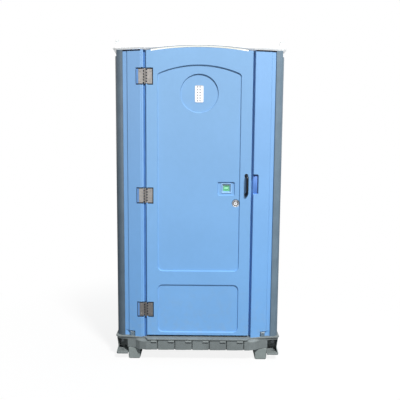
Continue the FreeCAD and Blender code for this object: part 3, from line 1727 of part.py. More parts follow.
def vent_cap():
    # shallow cone on three legs, with a sleeve that slips over the pipe
    x, y = vent_centre()
    pipe_end = crown_top + pipe_above
    eave = pipe_end + cap_gap
    profile = [
        Vector(x, y, eave + cap_height), Vector(x + cap_radius, y, eave + 4.0),
        Vector(x + cap_radius, y, eave),
        Vector(x + cap_radius - cap_wall, y, eave), Vector(x, y, eave + cap_height - cap_wall - 1.0),
    ]
    hat = Part.Face(Part.makePolygon(profile + profile[:1])).revolve(Vector(x, y, 0), Vector(0, 0, 1), 360)
    inner = pipe_radius + pipe_play
    outer = inner + cap_wall
    sleeve = rod(outer, Vector(x, y, pipe_end - 14.0), Vector(x, y, pipe_end))
    sleeve = sleeve.cut(rod(inner, Vector(x, y, pipe_end - 20.0), Vector(x, y, pipe_end + 5.0)))
    legs = []
    for i in range(3):
        leg = box(x + inner, x + outer, y - cap_leg / 2, y + cap_leg / 2, pipe_end - 1.0, eave + 10.0)
        leg.rotate(Vector(x, y, 0), Vector(0, 0, 1), 30.0 + 120.0 * i)
        legs.append(leg)
    return join([hat, sleeve] + legs)


def urinal_wall_x():
    return wall_outer - wall_sheet


def urinal():
    # half bowl against the wall, with an upright back
    x = urinal_wall_x() - urinal_wall
    outer = [Vector(x, urinal_place, urinal_bottom),
             Vector(x - urinal_low_radius, urinal_place, urinal_bottom),
             Vector(x - urinal_radius, urinal_place, urinal_rim - 50.0),
             Vector(x - urinal_radius, urinal_place, urinal_rim), Vector(x, urinal_place, urinal_rim)]
    bowl = Part.Face(Part.makePolygon(outer + outer[:1])).revolve(Vector(x, urinal_place, 0),
                                                                  Vector(0, 0, 1), 360)
    wall = urinal_wall
    hollow = [Vector(x, urinal_place, urinal_bottom + urinal_floor),
              Vector(x - urinal_low_radius + wall, urinal_place, urinal_bottom + urinal_floor),
              Vector(x - urinal_radius + wall, urinal_place, urinal_rim - 50.0),
              Vector(x - urinal_radius + wall, urinal_place, urinal_rim + 5.0),
              Vector(x, urinal_place, urinal_rim + 5.0)]
    room = Part.Face(Part.makePolygon(hollow + hollow[:1])).revolve(Vector(x, urinal_place, 0),
                                                                    Vector(0, 0, 1), 360)
    wide = 2 * urinal_radius
    half = box(x - wide, x, urinal_place - wide, urinal_place + wide, 0, urinal_rim + wide)
    back = across(block(urinal_place - urinal_radius, urinal_place + urinal_radius, urinal_bottom,
                        urinal_bottom + urinal_back_height, 40.0), x, x + urinal_wall)
    bowl = join([bowl.cut(room).common(half), back])
    drain = Vector(x - 30.0, urinal_place, urinal_bottom - 5.0)
    return bowl.cut(rod(hose_bore, drain, drain + Vector(0, 0, 30.0)))


def urinal_hose():
    # straight down out of the bowl, then one wide bend towards the tank
    x = urinal_wall_x() - urinal_wall - 30.0
    near = rear_wall - wall_sheet - tank_rear_gap - tank_depth
    top = Vector(x, urinal_place, urinal_bottom)
    knee_z = urinal_bottom - hose_drop
    bend = hose_bend
    a = Vector(x, urinal_place, knee_z + bend)
    turn = bend * (1 - math.sqrt(0.5))
    b = Vector(x, urinal_place + turn, knee_z + turn)
    c = Vector(x, urinal_place + bend, knee_z)
    end = Vector(x, near, knee_z)
    edges = [Part.LineSegment(top, a).toShape(), Part.Arc(a, b, c).toShape(),
             Part.LineSegment(c, end).toShape()]
    path = Part.Wire(edges)
    outer = path.makePipeShell([Part.Wire([Part.makeCircle(hose_radius, top, Vector(0, 0, 1))])], True, True)
    inner = path.makePipeShell([Part.Wire([Part.makeCircle(hose_bore, top, Vector(0, 0, 1))])], True, True)
    return outer.cut(inner)


def paper_axis():
    return Vector(paper_reach + wall_sheet - wall_outer, paper_place, paper_height)


def paper_holder():
    wall = wall_sheet - wall_outer
    axis = paper_axis()
    half = roll_width / 2 + holder_gap
    plate = box(wall, wall + holder_plate, axis.y - half - holder_arm, axis.y + half + holder_arm,
                axis.z - 30.0, axis.z + 45.0)
    arms = []
    for y in (axis.y - half - holder_arm, axis.y + half):
        arms.append(through([(wall, axis.z - 25.0, 0), (axis.x + 14.0, axis.z - 14.0, 12.0),
                             (axis.x + 14.0, axis.z + 14.0, 12.0), (wall, axis.z + 40.0, 0)], y,
                             y + holder_arm))
    whole = join([plate] + arms)
    return whole.cut(rod(6.0, axis - Vector(0, 200.0, 0), axis + Vector(0, 200.0, 0)))


def paper_spindle():
    axis = paper_axis()
    half = roll_width / 2 + holder_gap - 0.3
    end = half + holder_arm - 1.0
    drum = rod(core_radius - core_play, axis - Vector(0, half, 0), axis + Vector(0, half, 0))
    pin = rod(6.0, axis - Vector(0, end, 0), axis + Vector(0, end, 0))
    return drum.fuse(pin).removeSplitter()


def paper_roll():
    axis = paper_axis()
    half = Vector(0, roll_width / 2, 0)
    return rod(roll_radius, axis - half, axis + half).cut(rod(core_radius, axis - half * 2, axis + half * 2))


def build():
    pieces = {
        "base": base(),
        "skid_left": skid(-1.0),
        "skid_right": skid(1.0),
        "tie_brackets": tie_brackets(),
        "bracket_bolts": bracket_bolts(),
        "floor_panel": floor_panel(),
        "threshold": threshold(),
        "hinge_jamb": hinge_jamb(),
        "strike_jamb": strike_jamb(),
        "jamb_clips": jamb_clips(),
        "header": header(),
        "post_front_left": mirrored(front_post(door_half_width + hinge_nose_gap)),
        "post_front_right": front_post(door_half_width + strike_gap),
        "post_rear_left": mirrored(rear_post()),
        "post_rear_right": rear_post(),
        "side_panel_left": mirrored(side_panel()),
        "side_panel_right": side_panel(),
        "rear_panel": rear_panel(),
        "vent_grilles": vent_grilles(),
        "roof": roof(),
        "door_outer_skin": door_outer_skin(),
        "door_inner_skin": door_inner_skin(),
        "door_hinge_rivets": hinge_rivets(1, skin),
        "jamb_hinge_rivets": hinge_rivets(-1, jamb_sheet),
        "handle": handle(),
        "handle_screws": handle_screws(),
        "latch_case": latch_case(),
        "latch_screws": latch_screws(),
        "latch_bolt": latch_bolt(),
        "indicator_flag": indicator_flag(),
        "strike_plate": strike_plate(),
        "lock_barrel": lock_barrel(),
        "lock_nut": lock_nut(),
        "lock_plug": lock_plug(),
        "lock_cam": lock_cam(),
        "coat_hook": coat_hook(),
        "tank": tank(),
        "tank_top": tank_top(),
        "seat": seat(),
        "lid": lid(),
        "seat_hinge_rod": seat_hinge_rod(),
        "vent_pipe": vent_pipe(),
        "vent_cap": vent_cap(),
        "urinal": urinal(),
        "urinal_hose": urinal_hose(),
        "paper_holder": paper_holder(),
        "paper_spindle": paper_spindle(),
        "paper_roll": paper_roll(),
    }
    for name, height in zip(hinge_names, hinge_heights):
        pieces["hinge_" + name + "_door_leaf"] = hinge_leaf(height, 1)
        pieces["hinge_" + name + "_jamb_leaf"] = hinge_leaf(height, -1)
        pieces["hinge_" + name + "_pin"] = hinge_pin(height)
    return pieces


os.makedirs("parts", exist_ok=True)
for node, shape in build().items():
    shape.exportStep("parts/" + node + ".step")
    print(node, len(shape.Solids), "solids", round(shape.Volume / 1000.0, 1), "cm3", shape.isValid())
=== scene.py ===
import math

import bpy
import numpy as np
from mathutils import Matrix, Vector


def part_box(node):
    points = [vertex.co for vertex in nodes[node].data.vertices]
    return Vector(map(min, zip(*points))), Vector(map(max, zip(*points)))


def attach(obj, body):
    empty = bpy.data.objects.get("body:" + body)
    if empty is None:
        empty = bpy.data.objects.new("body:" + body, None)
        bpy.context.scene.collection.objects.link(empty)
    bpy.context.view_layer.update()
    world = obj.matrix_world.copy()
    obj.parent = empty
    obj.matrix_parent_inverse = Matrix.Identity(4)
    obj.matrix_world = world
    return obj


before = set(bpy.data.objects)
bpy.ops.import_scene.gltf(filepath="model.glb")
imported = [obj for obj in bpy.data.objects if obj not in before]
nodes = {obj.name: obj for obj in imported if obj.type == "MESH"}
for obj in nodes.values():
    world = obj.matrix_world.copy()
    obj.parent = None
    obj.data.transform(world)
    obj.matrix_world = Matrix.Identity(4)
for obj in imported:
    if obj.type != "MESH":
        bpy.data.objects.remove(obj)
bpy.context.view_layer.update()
print("frame loaded,", len(nodes), "nodes")


# Materials: Python expressions on sockets, and one way of adding any other node


class Wire:
    # an output socket; arithmetic on it adds Math nodes
    def __init__(self, finish, socket):
        self.finish = finish
        self.socket = socket

    def math(self, operation, *others):
        sockets = {i: value for i, value in enumerate((self,) + others)}
        return self.finish.add("ShaderNodeMath", {"operation": operation}, sockets, "Value")

    def __add__(self, other):
        return self.math("ADD", other)

    __radd__ = __add__

    def __mul__(self, other):
        return self.math("MULTIPLY", other)

    __rmul__ = __mul__

    def __neg__(self):
        return self * -1.0

    def __sub__(self, other):
        return self.math("SUBTRACT", other)

    def __rsub__(self, other):
        return -self + other

    def __pow__(self, other):
        return self.math("POWER", other)

    def __abs__(self):
        return self.math("ABSOLUTE")

    def sin(self):
        return self.math("SINE")

    def wrap(self, period):
        return self.math("WRAP", period, 0.0)

    def most(self, other):
        return self.math("MAXIMUM", other)

    def step(self, low, high):
        # 0 below low, 1 above high, smooth between; low may be the larger of the two
        settings = {"interpolation_type": "SMOOTHSTEP"}
        sockets = {"Value": self, "From Min": low, "From Max": high}
        if low > high:
            sockets.update({"From Min": high, "From Max": low, "To Min": 1.0, "To Max": 0.0})
        return self.finish.add("ShaderNodeMapRange", settings, sockets, "Result")


class Finish:
    # the nodes of one material, or of the world; add() makes every one that has an output
    def __init__(self, name, owner=None):
        self.owner = owner or bpy.data.materials.new(name)
        self.owner.use_nodes = True
        self.tree = self.owner.node_tree
        self.tree.nodes.clear()
        self.place = None

    def add(self, kind, settings, sockets, output):
        made = self.tree.nodes.new(kind)
        for name, value in settings.items():
            setattr(made, name, value)
        for key, value in sockets.items():
            socket = made.inputs[key] if isinstance(key, int) else self.find(made.inputs, key)
            if isinstance(value, Wire):
                self.tree.links.new(value.socket, socket)
            elif isinstance(value, tuple) and socket.type == "RGBA" and len(value) == 3:
                socket.default_value = (*value, 1.0)
            else:
                socket.default_value = value
        return Wire(self, self.find(made.outputs, output))

    def find(self, sockets, key):
        # by identifier first, because a Mix node has several sockets of one name
        for socket in sockets:
            if socket.identifier == key:
                return socket
        return sockets[key]

    def at(self):
        # Object coordinates, which are the shared frame in metres
        if self.place is None:
            self.place = self.add("ShaderNodeTexCoord", {}, {}, "Object")
        return self.place

    def axis(self, letter):
        return self.add("ShaderNodeSeparateXYZ", {}, {"Vector": self.at()}, letter)

    def stretch(self, scale):
        return self.add("ShaderNodeMapping", {}, {"Vector": self.at(), "Scale": scale}, "Vector")

    def noise(self, scale, detail=3.0, rough=0.5, place=None):
        sockets = {"Vector": place or self.at(), "Scale": scale, "Detail": detail, "Roughness": rough}
        return self.add("ShaderNodeTexNoise", {}, sockets, "Fac")

    def blend(self, share, first, second):
        sockets = {"Factor_Float": share, "A_Color": first, "B_Color": second}
        return self.add("ShaderNodeMix", {"data_type": "RGBA"}, sockets, "Result_Color")

    def bump(self, height, strength, distance, under=None):
        sockets = {"Height": height, "Strength": strength, "Distance": distance}
        if under is not None:
            sockets["Normal"] = under
        return self.add("ShaderNodeBump", {}, sockets, "Normal")

    def close(self, shader, kind="ShaderNodeOutputMaterial"):
        # ends the material or the world
        out = self.tree.nodes.new(kind)
        self.tree.links.new(shader.socket, out.inputs["Surface"])
        return self.owner

    def shade(self, **sockets):
        # a Principled surface; names are the shader's own socket names with _ for spaces
        named = {key.replace("_", " "): value for key, value in sockets.items()}
        return self.close(self.add("ShaderNodeBsdfPrincipled", {}, named, "BSDF"))


def srgb(red, green, blue):
    # 0-255 screen values to the linear values that a shader takes
    values = np.array([red, green, blue]) / 255.0
    linear = np.where(values <= 0.04045, values / 12.92, ((values + 0.055) / 1.055) ** 2.4)
    return tuple(float(value) for value in linear)


def paint(material, *names):
    for name in names:
        slots = nodes[name].data.materials
        slots.clear()
        slots.append(material)


# Moulded plastics; a pair of colours is the lighter and the deeper of two cloudy tones

shell = {
    "door": (srgb(122, 177, 232), srgb(129, 171, 212)),  # near the ground, near the roof
    "wall": (srgb(120, 176, 233), srgb(132, 174, 219)),
    "deepen": 0.94,
    "dust": srgb(150, 165, 176),
    "scuff": srgb(176, 208, 240),
    "rough": 0.42,
    "paintedLightHeights": (0.1, 2.3),
    "dustHeights": (0.75, 0.15),
    "cloud": 2.3,  # this and the next five are noise scales, per metre
    "mottle": 28.0,
    "dustScale": 22.0,
    "scuffScale": 60.0,
    "grain": 900.0,
    "wave": 9.0,
    "grainDepth": 0.00012,
    "waveDepth": 0.0012,
}


def mouldedBlue(name, low, high):
    # thin coloured sheet with a painted light gradient, deeper blue low down and greyer toward the top: soft
    # cloudy tone, fine grain, dust low down
    f = Finish(name)
    deepLow, deepHigh = (tuple(value * shell["deepen"] for value in colour) for colour in (low, high))
    cloud = f.noise(shell["cloud"], 4.0, 0.6)
    mottle = f.noise(shell["mottle"], 3.0, 0.6)
    tone = (cloud * 0.75 + mottle * 0.25).step(0.3, 0.7)
    height = f.axis("Z")
    # painted light: the blend from the low to the high colour follows how the light falls from above
    paintedLightRise = height.step(*shell["paintedLightHeights"])
    colour = f.blend(tone, f.blend(paintedLightRise, low, high), f.blend(paintedLightRise, deepLow, deepHigh))
    dust = height.step(*shell["dustHeights"]) * f.noise(shell["dustScale"], 5.0, 0.7).step(0.42, 0.75) * 0.35
    colour = f.blend(dust * 0.6, colour, shell["dust"])
    scuff = f.noise(shell["scuffScale"], 4.0, 0.6, f.stretch((1.0, 1.0, 1.6))).step(0.66, 0.8) * 0.2
    colour = f.blend(scuff, colour, shell["scuff"])
    grain = f.noise(shell["grain"], 2.0, 0.5)
    wave = f.noise(shell["wave"], 2.0, 0.5)
    normal = f.bump(grain, 0.25, shell["grainDepth"], f.bump(wave, 0.25, shell["waveDepth"]))
    rough = cloud * 0.12 + dust * 0.5 + shell["rough"]
    return f.shade(Base_Color=colour, Roughness=rough, Normal=normal, Specular_IOR_Level=0.4)


grey = {
    "base": (srgb(126, 134, 134), srgb(111, 118, 118)),
    "skid": (srgb(144, 153, 151), srgb(128, 137, 135)),
    "post": (srgb(110, 130, 145), srgb(98, 117, 131)),
    # painted shade: a darker copy of the post grey for the left-hand posts, which face away from the light
    "postShade": (srgb(86, 103, 116), srgb(75, 91, 104)),
    "floor": (srgb(92, 99, 102), srgb(76, 82, 86)),
    "tank": (srgb(60, 72, 84), srgb(48, 58, 70)),
    "dust": srgb(186, 190, 184),
    "scuff": srgb(160, 166, 164),
    "cloud": 9.0,
    "fleck": 160.0,
    "dustScale": 35.0,
    "scuffScale": 45.0,
    "grain": 420.0,
    "wave": 18.0,
    "grainDepth": 0.0003,
    "waveDepth": 0.0015,
}


def mouldedGrey(kind, dusty, rough=0.6, coat=0.0):
    # rotation-moulded grey: mottled, with pale scuffs and dust on what faces up
    f = Finish(kind + "Grey")
    cloud = f.noise(grey["cloud"], 5.0, 0.6)
    fleck = f.noise(grey["fleck"], 2.0, 0.6)
    colour = f.blend((cloud * 0.7 + fleck * 0.3).step(0.3, 0.7), *grey[kind])
    facing = f.add("ShaderNodeNewGeometry", {}, {}, "Normal")
    up = f.add("ShaderNodeSeparateXYZ", {}, {"Vector": facing}, "Z").step(0.4, 0.95)
    dust = up * f.noise(grey["dustScale"], 4.0, 0.7).step(0.25, 0.7) * dusty
    colour = f.blend(dust, colour, grey["dust"])
    scuff = f.noise(grey["scuffScale"], 4.0, 0.7, f.stretch((1.0, 1.0, 5.0))).step(0.62, 0.78) * 0.3
    colour = f.blend(scuff, colour, grey["scuff"])
    wave = f.bump(f.noise(grey["wave"], 2.0, 0.5), 0.3, grey["waveDepth"])
    normal = f.bump(f.noise(grey["grain"], 3.0, 0.6), 0.35, grey["grainDepth"], wave)
    return f.shade(Base_Color=colour, Roughness=cloud * 0.15 + dust * 0.3 + rough, Normal=normal,
                   Coat_Weight=coat, Coat_Roughness=0.22)


doorBlue = mouldedBlue("doorBlue", *shell["door"])
wallBlue = mouldedBlue("wallBlue", *shell["wall"])
floorGrey = mouldedGrey("floor", 0.5)

paint(doorBlue, "door_outer_skin", "door_inner_skin")
paint(wallBlue, "hinge_jamb", "strike_jamb", "header", "side_panel_left", "side_panel_right", "rear_panel")
paint(mouldedGrey("base", 0.1), "base", "tie_brackets")
paint(mouldedGrey("skid", 0.3), "skid_left", "skid_right")
paint(mouldedGrey("post", 0.2, 0.4, 0.3), "post_front_right", "post_rear_right", "jamb_clips")
# the left posts take the painted-shade copy of the post grey
paint(mouldedGrey("postShade", 0.2, 0.4, 0.5), "post_front_left", "post_rear_left")
paint(floorGrey, "floor_panel", "threshold")
paint(mouldedGrey("tank", 0.25, 0.45), "tank", "tank_top")
print("moulded plastics done")


roofLook = {
    "light": srgb(240, 242, 243),
    "deep": srgb(224, 228, 230),
    # painted shade: the darker colour of the top behind the brow
    "top": srgb(204, 208, 208),
    "spots": srgb(196, 198, 190),
    "rough": 0.4,
    "glow": 0.22,  # painted glow, so the sheet's shaded underside and brow read bright
    "paintedGlowTint": (1.0, 0.99, 0.96),
    "paintedGlowTop": (0.04, 0.04, 0.04),
    "browBack": (-0.57, -0.50),  # where the painted-shade top begins, behind the brow
    "rimTop": (2.27, 2.30),
    "cloud": 6.0,
    # size of the noisy patches in the painted top shade
    "dustScale": 3.0,
    "spotScale": 70.0,
    "grain": 300.0,
    "grainDepth": 0.0003,
    "sheetDepth": 0.02,  # how far light spreads inside the sheet
}


def roofFinish():
    # white sheet with faint clouds and spots; the top behind the brow is painted darker in noisy patches
    # against the strong light on it, and the sheet has a painted glow, weaker on the top
    f = Finish("roofWhite")
    cloud = f.noise(roofLook["cloud"], 4.0, 0.6)
    colour = f.blend(cloud.step(0.3, 0.7), roofLook["light"], roofLook["deep"])
    # painted shade: the top behind the brow turns darker in noisy patches (the noise called dust here), to
    # offset the strong light on it
    top = f.axis("Y").step(*roofLook["browBack"]) * f.axis("Z").step(*roofLook["rimTop"])
    dust = f.noise(roofLook["dustScale"], 5.0, 0.7) * 0.5 + 0.65
    colour = f.blend(top * dust, colour, roofLook["top"])
    spots = f.noise(roofLook["spotScale"], 4.0, 0.75).step(0.6, 0.8) * 0.2
    colour = f.blend(spots, colour, roofLook["spots"])
    grain = f.bump(f.noise(roofLook["grain"], 3.0, 0.5), 0.25, roofLook["grainDepth"])
    return f.shade(Base_Color=colour, Roughness=cloud * 0.15 + roofLook["rough"], Normal=grain,
                   Subsurface_Weight=0.5, Subsurface_Radius=(1.0, 1.0, 1.0),
                   Subsurface_Scale=roofLook["sheetDepth"],
                   # painted glow, held low on the top
                   Emission_Color=f.blend(top, roofLook["paintedGlowTint"], roofLook["paintedGlowTop"]),
                   Emission_Strength=roofLook["glow"])


roofWhite = roofFinish()
paint(roofWhite, "roof", "vent_grilles")


metal = {
    "steel": (srgb(166, 162, 158), srgb(134, 130, 126)),
    "zinc": (srgb(170, 174, 176), srgb(132, 138, 142)),
    "chrome": (srgb(240, 240, 240), srgb(218, 218, 220)),
    "rust": srgb(120, 92, 66),
    "drawn": (4.0, 400.0, 400.0),  # long fine lines, or an even dull grain
    "even": (60.0, 60.0, 60.0),
    "lineScale": 6.0,
    "lineDepth": 0.0001,
    "patch": 40.0,
    "rustScale": 90.0,
    "rough": 0.26,
    "metallic": 0.92,
}


def brushedMetal(kind, grain):
    # fine lines or grain with dull patches and a little rust
    f = Finish(kind)
    lines = f.noise(metal["lineScale"], 3.0, 0.6, f.stretch(metal[grain]))
    patch = f.noise(metal["patch"], 4.0, 0.6)
    colour = f.blend((lines * 0.6 + patch * 0.4).step(0.3, 0.7), *metal[kind])
    rust = f.noise(metal["rustScale"], 5.0, 0.8).step(0.68, 0.8) * 0.35
    colour = f.blend(rust, colour, metal["rust"])
    rough = lines * 0.18 + patch * 0.1 + rust * 0.3 + metal["rough"]
    return f.shade(Base_Color=colour, Roughness=rough, Metallic=metal["metallic"],
                   Normal=f.bump(lines, 0.2, metal["lineDepth"]))


steel = brushedMetal("steel", "drawn")
zinc = brushedMetal("zinc", "even")
chrome = brushedMetal("chrome", "even")
for level in ("bottom", "middle", "top"):
    paint(steel, "hinge_" + level + "_door_leaf", "hinge_" + level + "_jamb_leaf", "hinge_" + level + "_pin")
paint(steel, "door_hinge_rivets", "jamb_hinge_rivets", "lock_nut", "lock_cam", "seat_hinge_rod")
paint(zinc, "bracket_bolts", "strike_plate", "handle_screws", "latch_screws")
paint(chrome, "lock_barrel", "lock_plug")


plastic = {"darkCloud": 30.0, "rubbed": 80.0, "paleCloud": 12.0, "paleGrain": 500.0, "grainDepth": 0.0001}


def darkPlastic(name, light, deep, rough=0.38, grain=700.0):
    # small dark mouldings: satin, with paler rubbed patches
    f = Finish(name)
    cloud = f.noise(plastic["darkCloud"], 3.0, 0.6)
    rubbed = f.noise(plastic["rubbed"], 4.0, 0.7).step(0.6, 0.78) * 0.4
    colour = f.blend(rubbed, f.blend(cloud, light, deep), tuple(value * 1.6 + 0.003 for value in light))
    return f.shade(Base_Color=colour, Roughness=cloud * 0.15 + rough, Specular_IOR_Level=0.3,
                   Normal=f.bump(f.noise(grain, 2.0, 0.5), 0.3, plastic["grainDepth"]))


def palePlastic(name, light, deep, rough, glow=0.0):
    # small pale or coloured mouldings with a faint cloudy tone; glow, where given, is a painted glow
    f = Finish(name)
    cloud = f.noise(plastic["paleCloud"], 4.0, 0.6)
    colour = f.blend(cloud.step(0.3, 0.7), light, deep)
    grain = f.bump(f.noise(plastic["paleGrain"], 2.0, 0.5), 0.2, plastic["grainDepth"])
    return f.shade(Base_Color=colour, Roughness=cloud * 0.1 + rough, Emission_Color=colour,
                   Emission_Strength=glow, Normal=grain)


handleBlack = darkPlastic("handleBlack", srgb(16, 20, 28), srgb(9, 12, 18), 0.22)
latchBlack = darkPlastic("latchBlack", srgb(38, 42, 46), srgb(26, 30, 34))
seatGrey = darkPlastic("seatGrey", srgb(66, 72, 78), srgb(54, 60, 66), 0.3)
markGrey = darkPlastic("markGrey", srgb(96, 100, 104), srgb(84, 88, 92), 0.6)
# black for the real door seal, and for strips, rings and discs that stand in for shade
rubberAndShadeBlack = darkPlastic("rubberAndShadeBlack", srgb(20, 26, 40), srgb(14, 18, 30), 0.7, 400.0)
pipeGrey = palePlastic("pipeGrey", srgb(178, 182, 182), srgb(160, 165, 166), 0.5)
urinalWhite = palePlastic("urinalWhite", srgb(228, 230, 228), srgb(214, 217, 215), 0.25)
hoseGrey = palePlastic("hoseGrey", srgb(116, 122, 126), srgb(98, 104, 108), 0.5)
whitePlate = palePlastic("whitePlate", srgb(250, 250, 252), srgb(240, 241, 244), 0.3)
paleBlue = palePlastic("paleBlue", srgb(178, 212, 244), srgb(160, 200, 238), 0.35)
# painted glow: the pale trim gives off light so the brow's shadow on the door's top edge doesn't show
trimWhite = palePlastic("trimWhite", srgb(252, 250, 240), srgb(246, 243, 230), 0.4, glow=0.7)
# painted shade: the next four blues colour sheets and beads that stand in for shade in the hinge rebate, the
# hinge-side gap and the finger pocket
rebateShadeBlue = palePlastic("rebateShadeBlue", srgb(98, 142, 198), srgb(92, 136, 190), 0.6)
gapShadeBlue = palePlastic("gapShadeBlue", srgb(68, 118, 176), srgb(60, 106, 162), 0.6)
pocketShadeBlue = palePlastic("pocketShadeBlue", srgb(86, 132, 204), srgb(78, 122, 194), 0.5)
pocketShadowEdge = palePlastic("pocketShadowEdge", srgb(34, 66, 116), srgb(28, 56, 102), 0.5)

paint(handleBlack, "handle")
paint(latchBlack, "latch_case", "latch_bolt", "coat_hook")
paint(seatGrey, "seat", "lid", "paper_holder", "paper_spindle")
paint(pipeGrey, "vent_pipe", "vent_cap")
paint(urinalWhite, "urinal")
paint(hoseGrey, "urinal_hose")


flagLook = {
    "green": srgb(60, 176, 112),
    "red": srgb(196, 44, 40),
    "bar": srgb(150, 236, 186),
    "barHalf": (0.0052, 0.0046),
    "barReach": (0.62, 0.56),  # shares of a quarter of the flag's width
    "seam": 0.0003,
}


def flagFinish():
    # green on the right half, red on the left, with a pale bar across each
    f = Finish("flagFinish")
    low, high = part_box("indicator_flag")
    middle = (low[0] + high[0]) / 2
    quarter = (high[0] - low[0]) / 4
    centre = (low[2] + high[2]) / 2
    x = f.axis("X")
    green = x.step(middle - flagLook["seam"], middle + flagLook["seam"])
    colour = f.blend(green, flagLook["red"], flagLook["green"])
    across = abs(abs(x - middle) - quarter).step(*(quarter * share for share in flagLook["barReach"]))
    bar = abs(f.axis("Z") - centre).step(*flagLook["barHalf"]) * across
    colour = f.blend(bar, colour, flagLook["bar"])
    return f.shade(Base_Color=colour, Roughness=f.noise(50.0) * 0.1 + 0.25, Coat_Weight=0.3)


paint(flagFinish(), "indicator_flag")

paperLook = {"face": srgb(240, 238, 232), "line": srgb(214, 210, 202), "winding": 9000.0, "quilt": 260.0,
             "quiltDepth": 0.0005}


def paperFinish():
    # wound sheet: fine rings on the ends and a soft quilted face
    f = Finish("paperFinish")
    low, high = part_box("paper_roll")
    x = f.axis("X") - (low[0] + high[0]) / 2
    z = f.axis("Z") - (low[2] + high[2]) / 2
    radius = (x * x + z * z) ** 0.5
    rings = (radius * paperLook["winding"]).sin() * 0.5 + 0.5
    colour = f.blend(rings * 0.35, paperLook["face"], paperLook["line"])
    quilt = f.bump(f.noise(paperLook["quilt"], 3.0, 0.6), 0.4, paperLook["quiltDepth"])
    return f.shade(Base_Color=colour, Roughness=0.9, Normal=quilt)


paint(paperFinish(), "paper_roll")
print("finishes done")


# Small pieces: rings of a rounded rectangle pressed up in steps, and strips carried along a path

toFront, toRear, toRight, toLeft, toTop = (0, -1, 0), (0, 1, 0), (1, 0, 0), (-1, 0, 0), (0, 0, 1)


def ringOf(halfWidth, halfHeight, corner, steps):
    # four quarter arcs, each round the centre of its corner: centre + corner * (cos t, sin t)
    turn = np.radians(np.arange(4)[:, None] * 90.0 + np.linspace(0.0, 90.0, steps + 1)[None, :]).ravel()
    side = np.repeat([[1, 1], [-1, 1], [-1, -1], [1, -1]], steps + 1, axis=0)
    centre = np.array([max(halfWidth - corner, 0.0), max(halfHeight - corner, 0.0)])
    return side * centre + corner * np.stack([np.cos(turn), np.sin(turn)], axis=1)


def ringFaces(rows, columns, loop):
    # four-sided faces between neighbouring rings; where the rings don't loop, both ends are closed
    i, j = np.indices((rows - (not loop), columns))
    after, right = (i + 1) % rows, (j + 1) % columns
    corners = [i * columns + j, i * columns + right, after * columns + right, after * columns + j]
    faces = np.stack(corners, axis=-1).reshape(-1, 4).tolist()
    first, last = list(range(columns))[::-1], list(range((rows - 1) * columns, rows * columns))
    return faces if loop else faces + [first, last]


def pressing(size, profile, origin, right, out, corner, steps, hollow):
    # one ring for each (inset, height) of the profile, from the outer foot inwards;
    # local x lies along right, z along out, and y completes them
    halfWidth, halfHeight = size
    corner = halfWidth if corner is None else corner
    rings = []
    for inset, height in profile:
        flat = ringOf(halfWidth - inset, halfHeight - inset, max(corner - inset, 0.00002), steps)
        rings.append(np.column_stack([flat, np.full(len(flat), height)]))
    right, out = np.array(right, float), np.array(out, float)
    right /= np.linalg.norm(right)
    out /= np.linalg.norm(out)
    axes = np.stack([right, np.cross(out, right), out])
    return np.array(origin) + np.concatenate(rings) @ axes, ringFaces(len(rings), len(rings[0]), hollow)


def button(size, profile, origin, right, out, corner=None, steps=6):
    # a closed pressing: plates, domes, washers and caps
    return pressing(size, profile, origin, right, out, corner, steps, False)


def hoop(size, profile, origin, right, out, corner=None, steps=8):
    # a pressing whose profile comes back to its start, open in the middle: rims and rings
    return pressing(size, profile, origin, right, out, corner, steps, True)


def strip(path, section, out):
    # section points (across, outwards) carried along a path that lies square to out; both ends closed
    path, section, out = np.array(path, float), np.array(section, float), np.array(out, float)
    along = np.gradient(path, axis=0)
    along /= np.linalg.norm(along, axis=1, keepdims=True)
    across = np.cross(out, along)
    points = path[:, None] + section[None, :, :1] * across[:, None] + section[None, :, 1:] * out
    return points.reshape(-1, 3), ringFaces(len(path), len(section), False)


def slab(foot, side, bevel):
    # profile of a plate: heights of its foot and of its straight side, then a bevel
    return [(0.0, foot), (0.0, side), (bevel, side + bevel)]


def bead(half, foot, shoulder, crown, tall):
    # section of a low bead: shoulder is (share of half, height), crown the flat top's share of half
    wide, rise = half * shoulder[0], shoulder[1]
    flat = half * crown
    return [(-half, foot), (half, foot), (wide, rise), (flat, tall), (-flat, tall), (-wide, rise)]


def publish(name, parts, finish, body, crease=38.0):
    # parts are (points, faces) pairs that become one mesh at the origin
    points, faces, count = [], [], 0
    for cloud, polygons in parts:
        points.append(cloud)
        faces += [[index + count for index in polygon] for polygon in polygons]
        count += len(cloud)
    mesh = bpy.data.meshes.new(name)
    mesh.from_pydata(np.concatenate(points).tolist(), [], faces)
    mesh.materials.append(finish)
    mesh.polygons.foreach_set("use_smooth", np.ones(len(mesh.polygons), dtype=bool))
    mesh.set_sharp_from_angle(angle=math.radians(crease))
    made = bpy.data.objects.new(name, mesh)
    bpy.context.collection.objects.link(made)
    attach(made, body)


def headsOn(name, places, size, tall, out, right, finish, body):
    # small domed heads with a dark-reading dish in the middle, many in one mesh
    profile = [(0.0, -0.0004), (0.0, tall * 0.35), (size * 0.12, tall * 0.75), (size * 0.35, tall),
               (size * 0.5, tall * 0.45), (size * 0.6, tall * 0.4)]
    made = [button((size, size), profile, place, right, out, steps=2) for place in places]
    publish(name, made, finish, body, 30.0)


bpy.context.view_layer.update()  # so that rays meet the CAD nodes where they stand


def touch(node, start, towards, facing=False):
    # where a straight line first meets a CAD node, and if asked the way the surface faces
    hit, place, normal, _ = nodes[node].ray_cast(start, towards)
    if not hit:
        raise ValueError("no surface of " + node + " there")
    return (np.array(place), np.array(normal)) if facing else np.array(place)


def frontOf(node, x, z):
    # where a level line from the front first meets a CAD node
    return touch(node, (x, -1.0, z), (0.0, 1.0, 0.0))


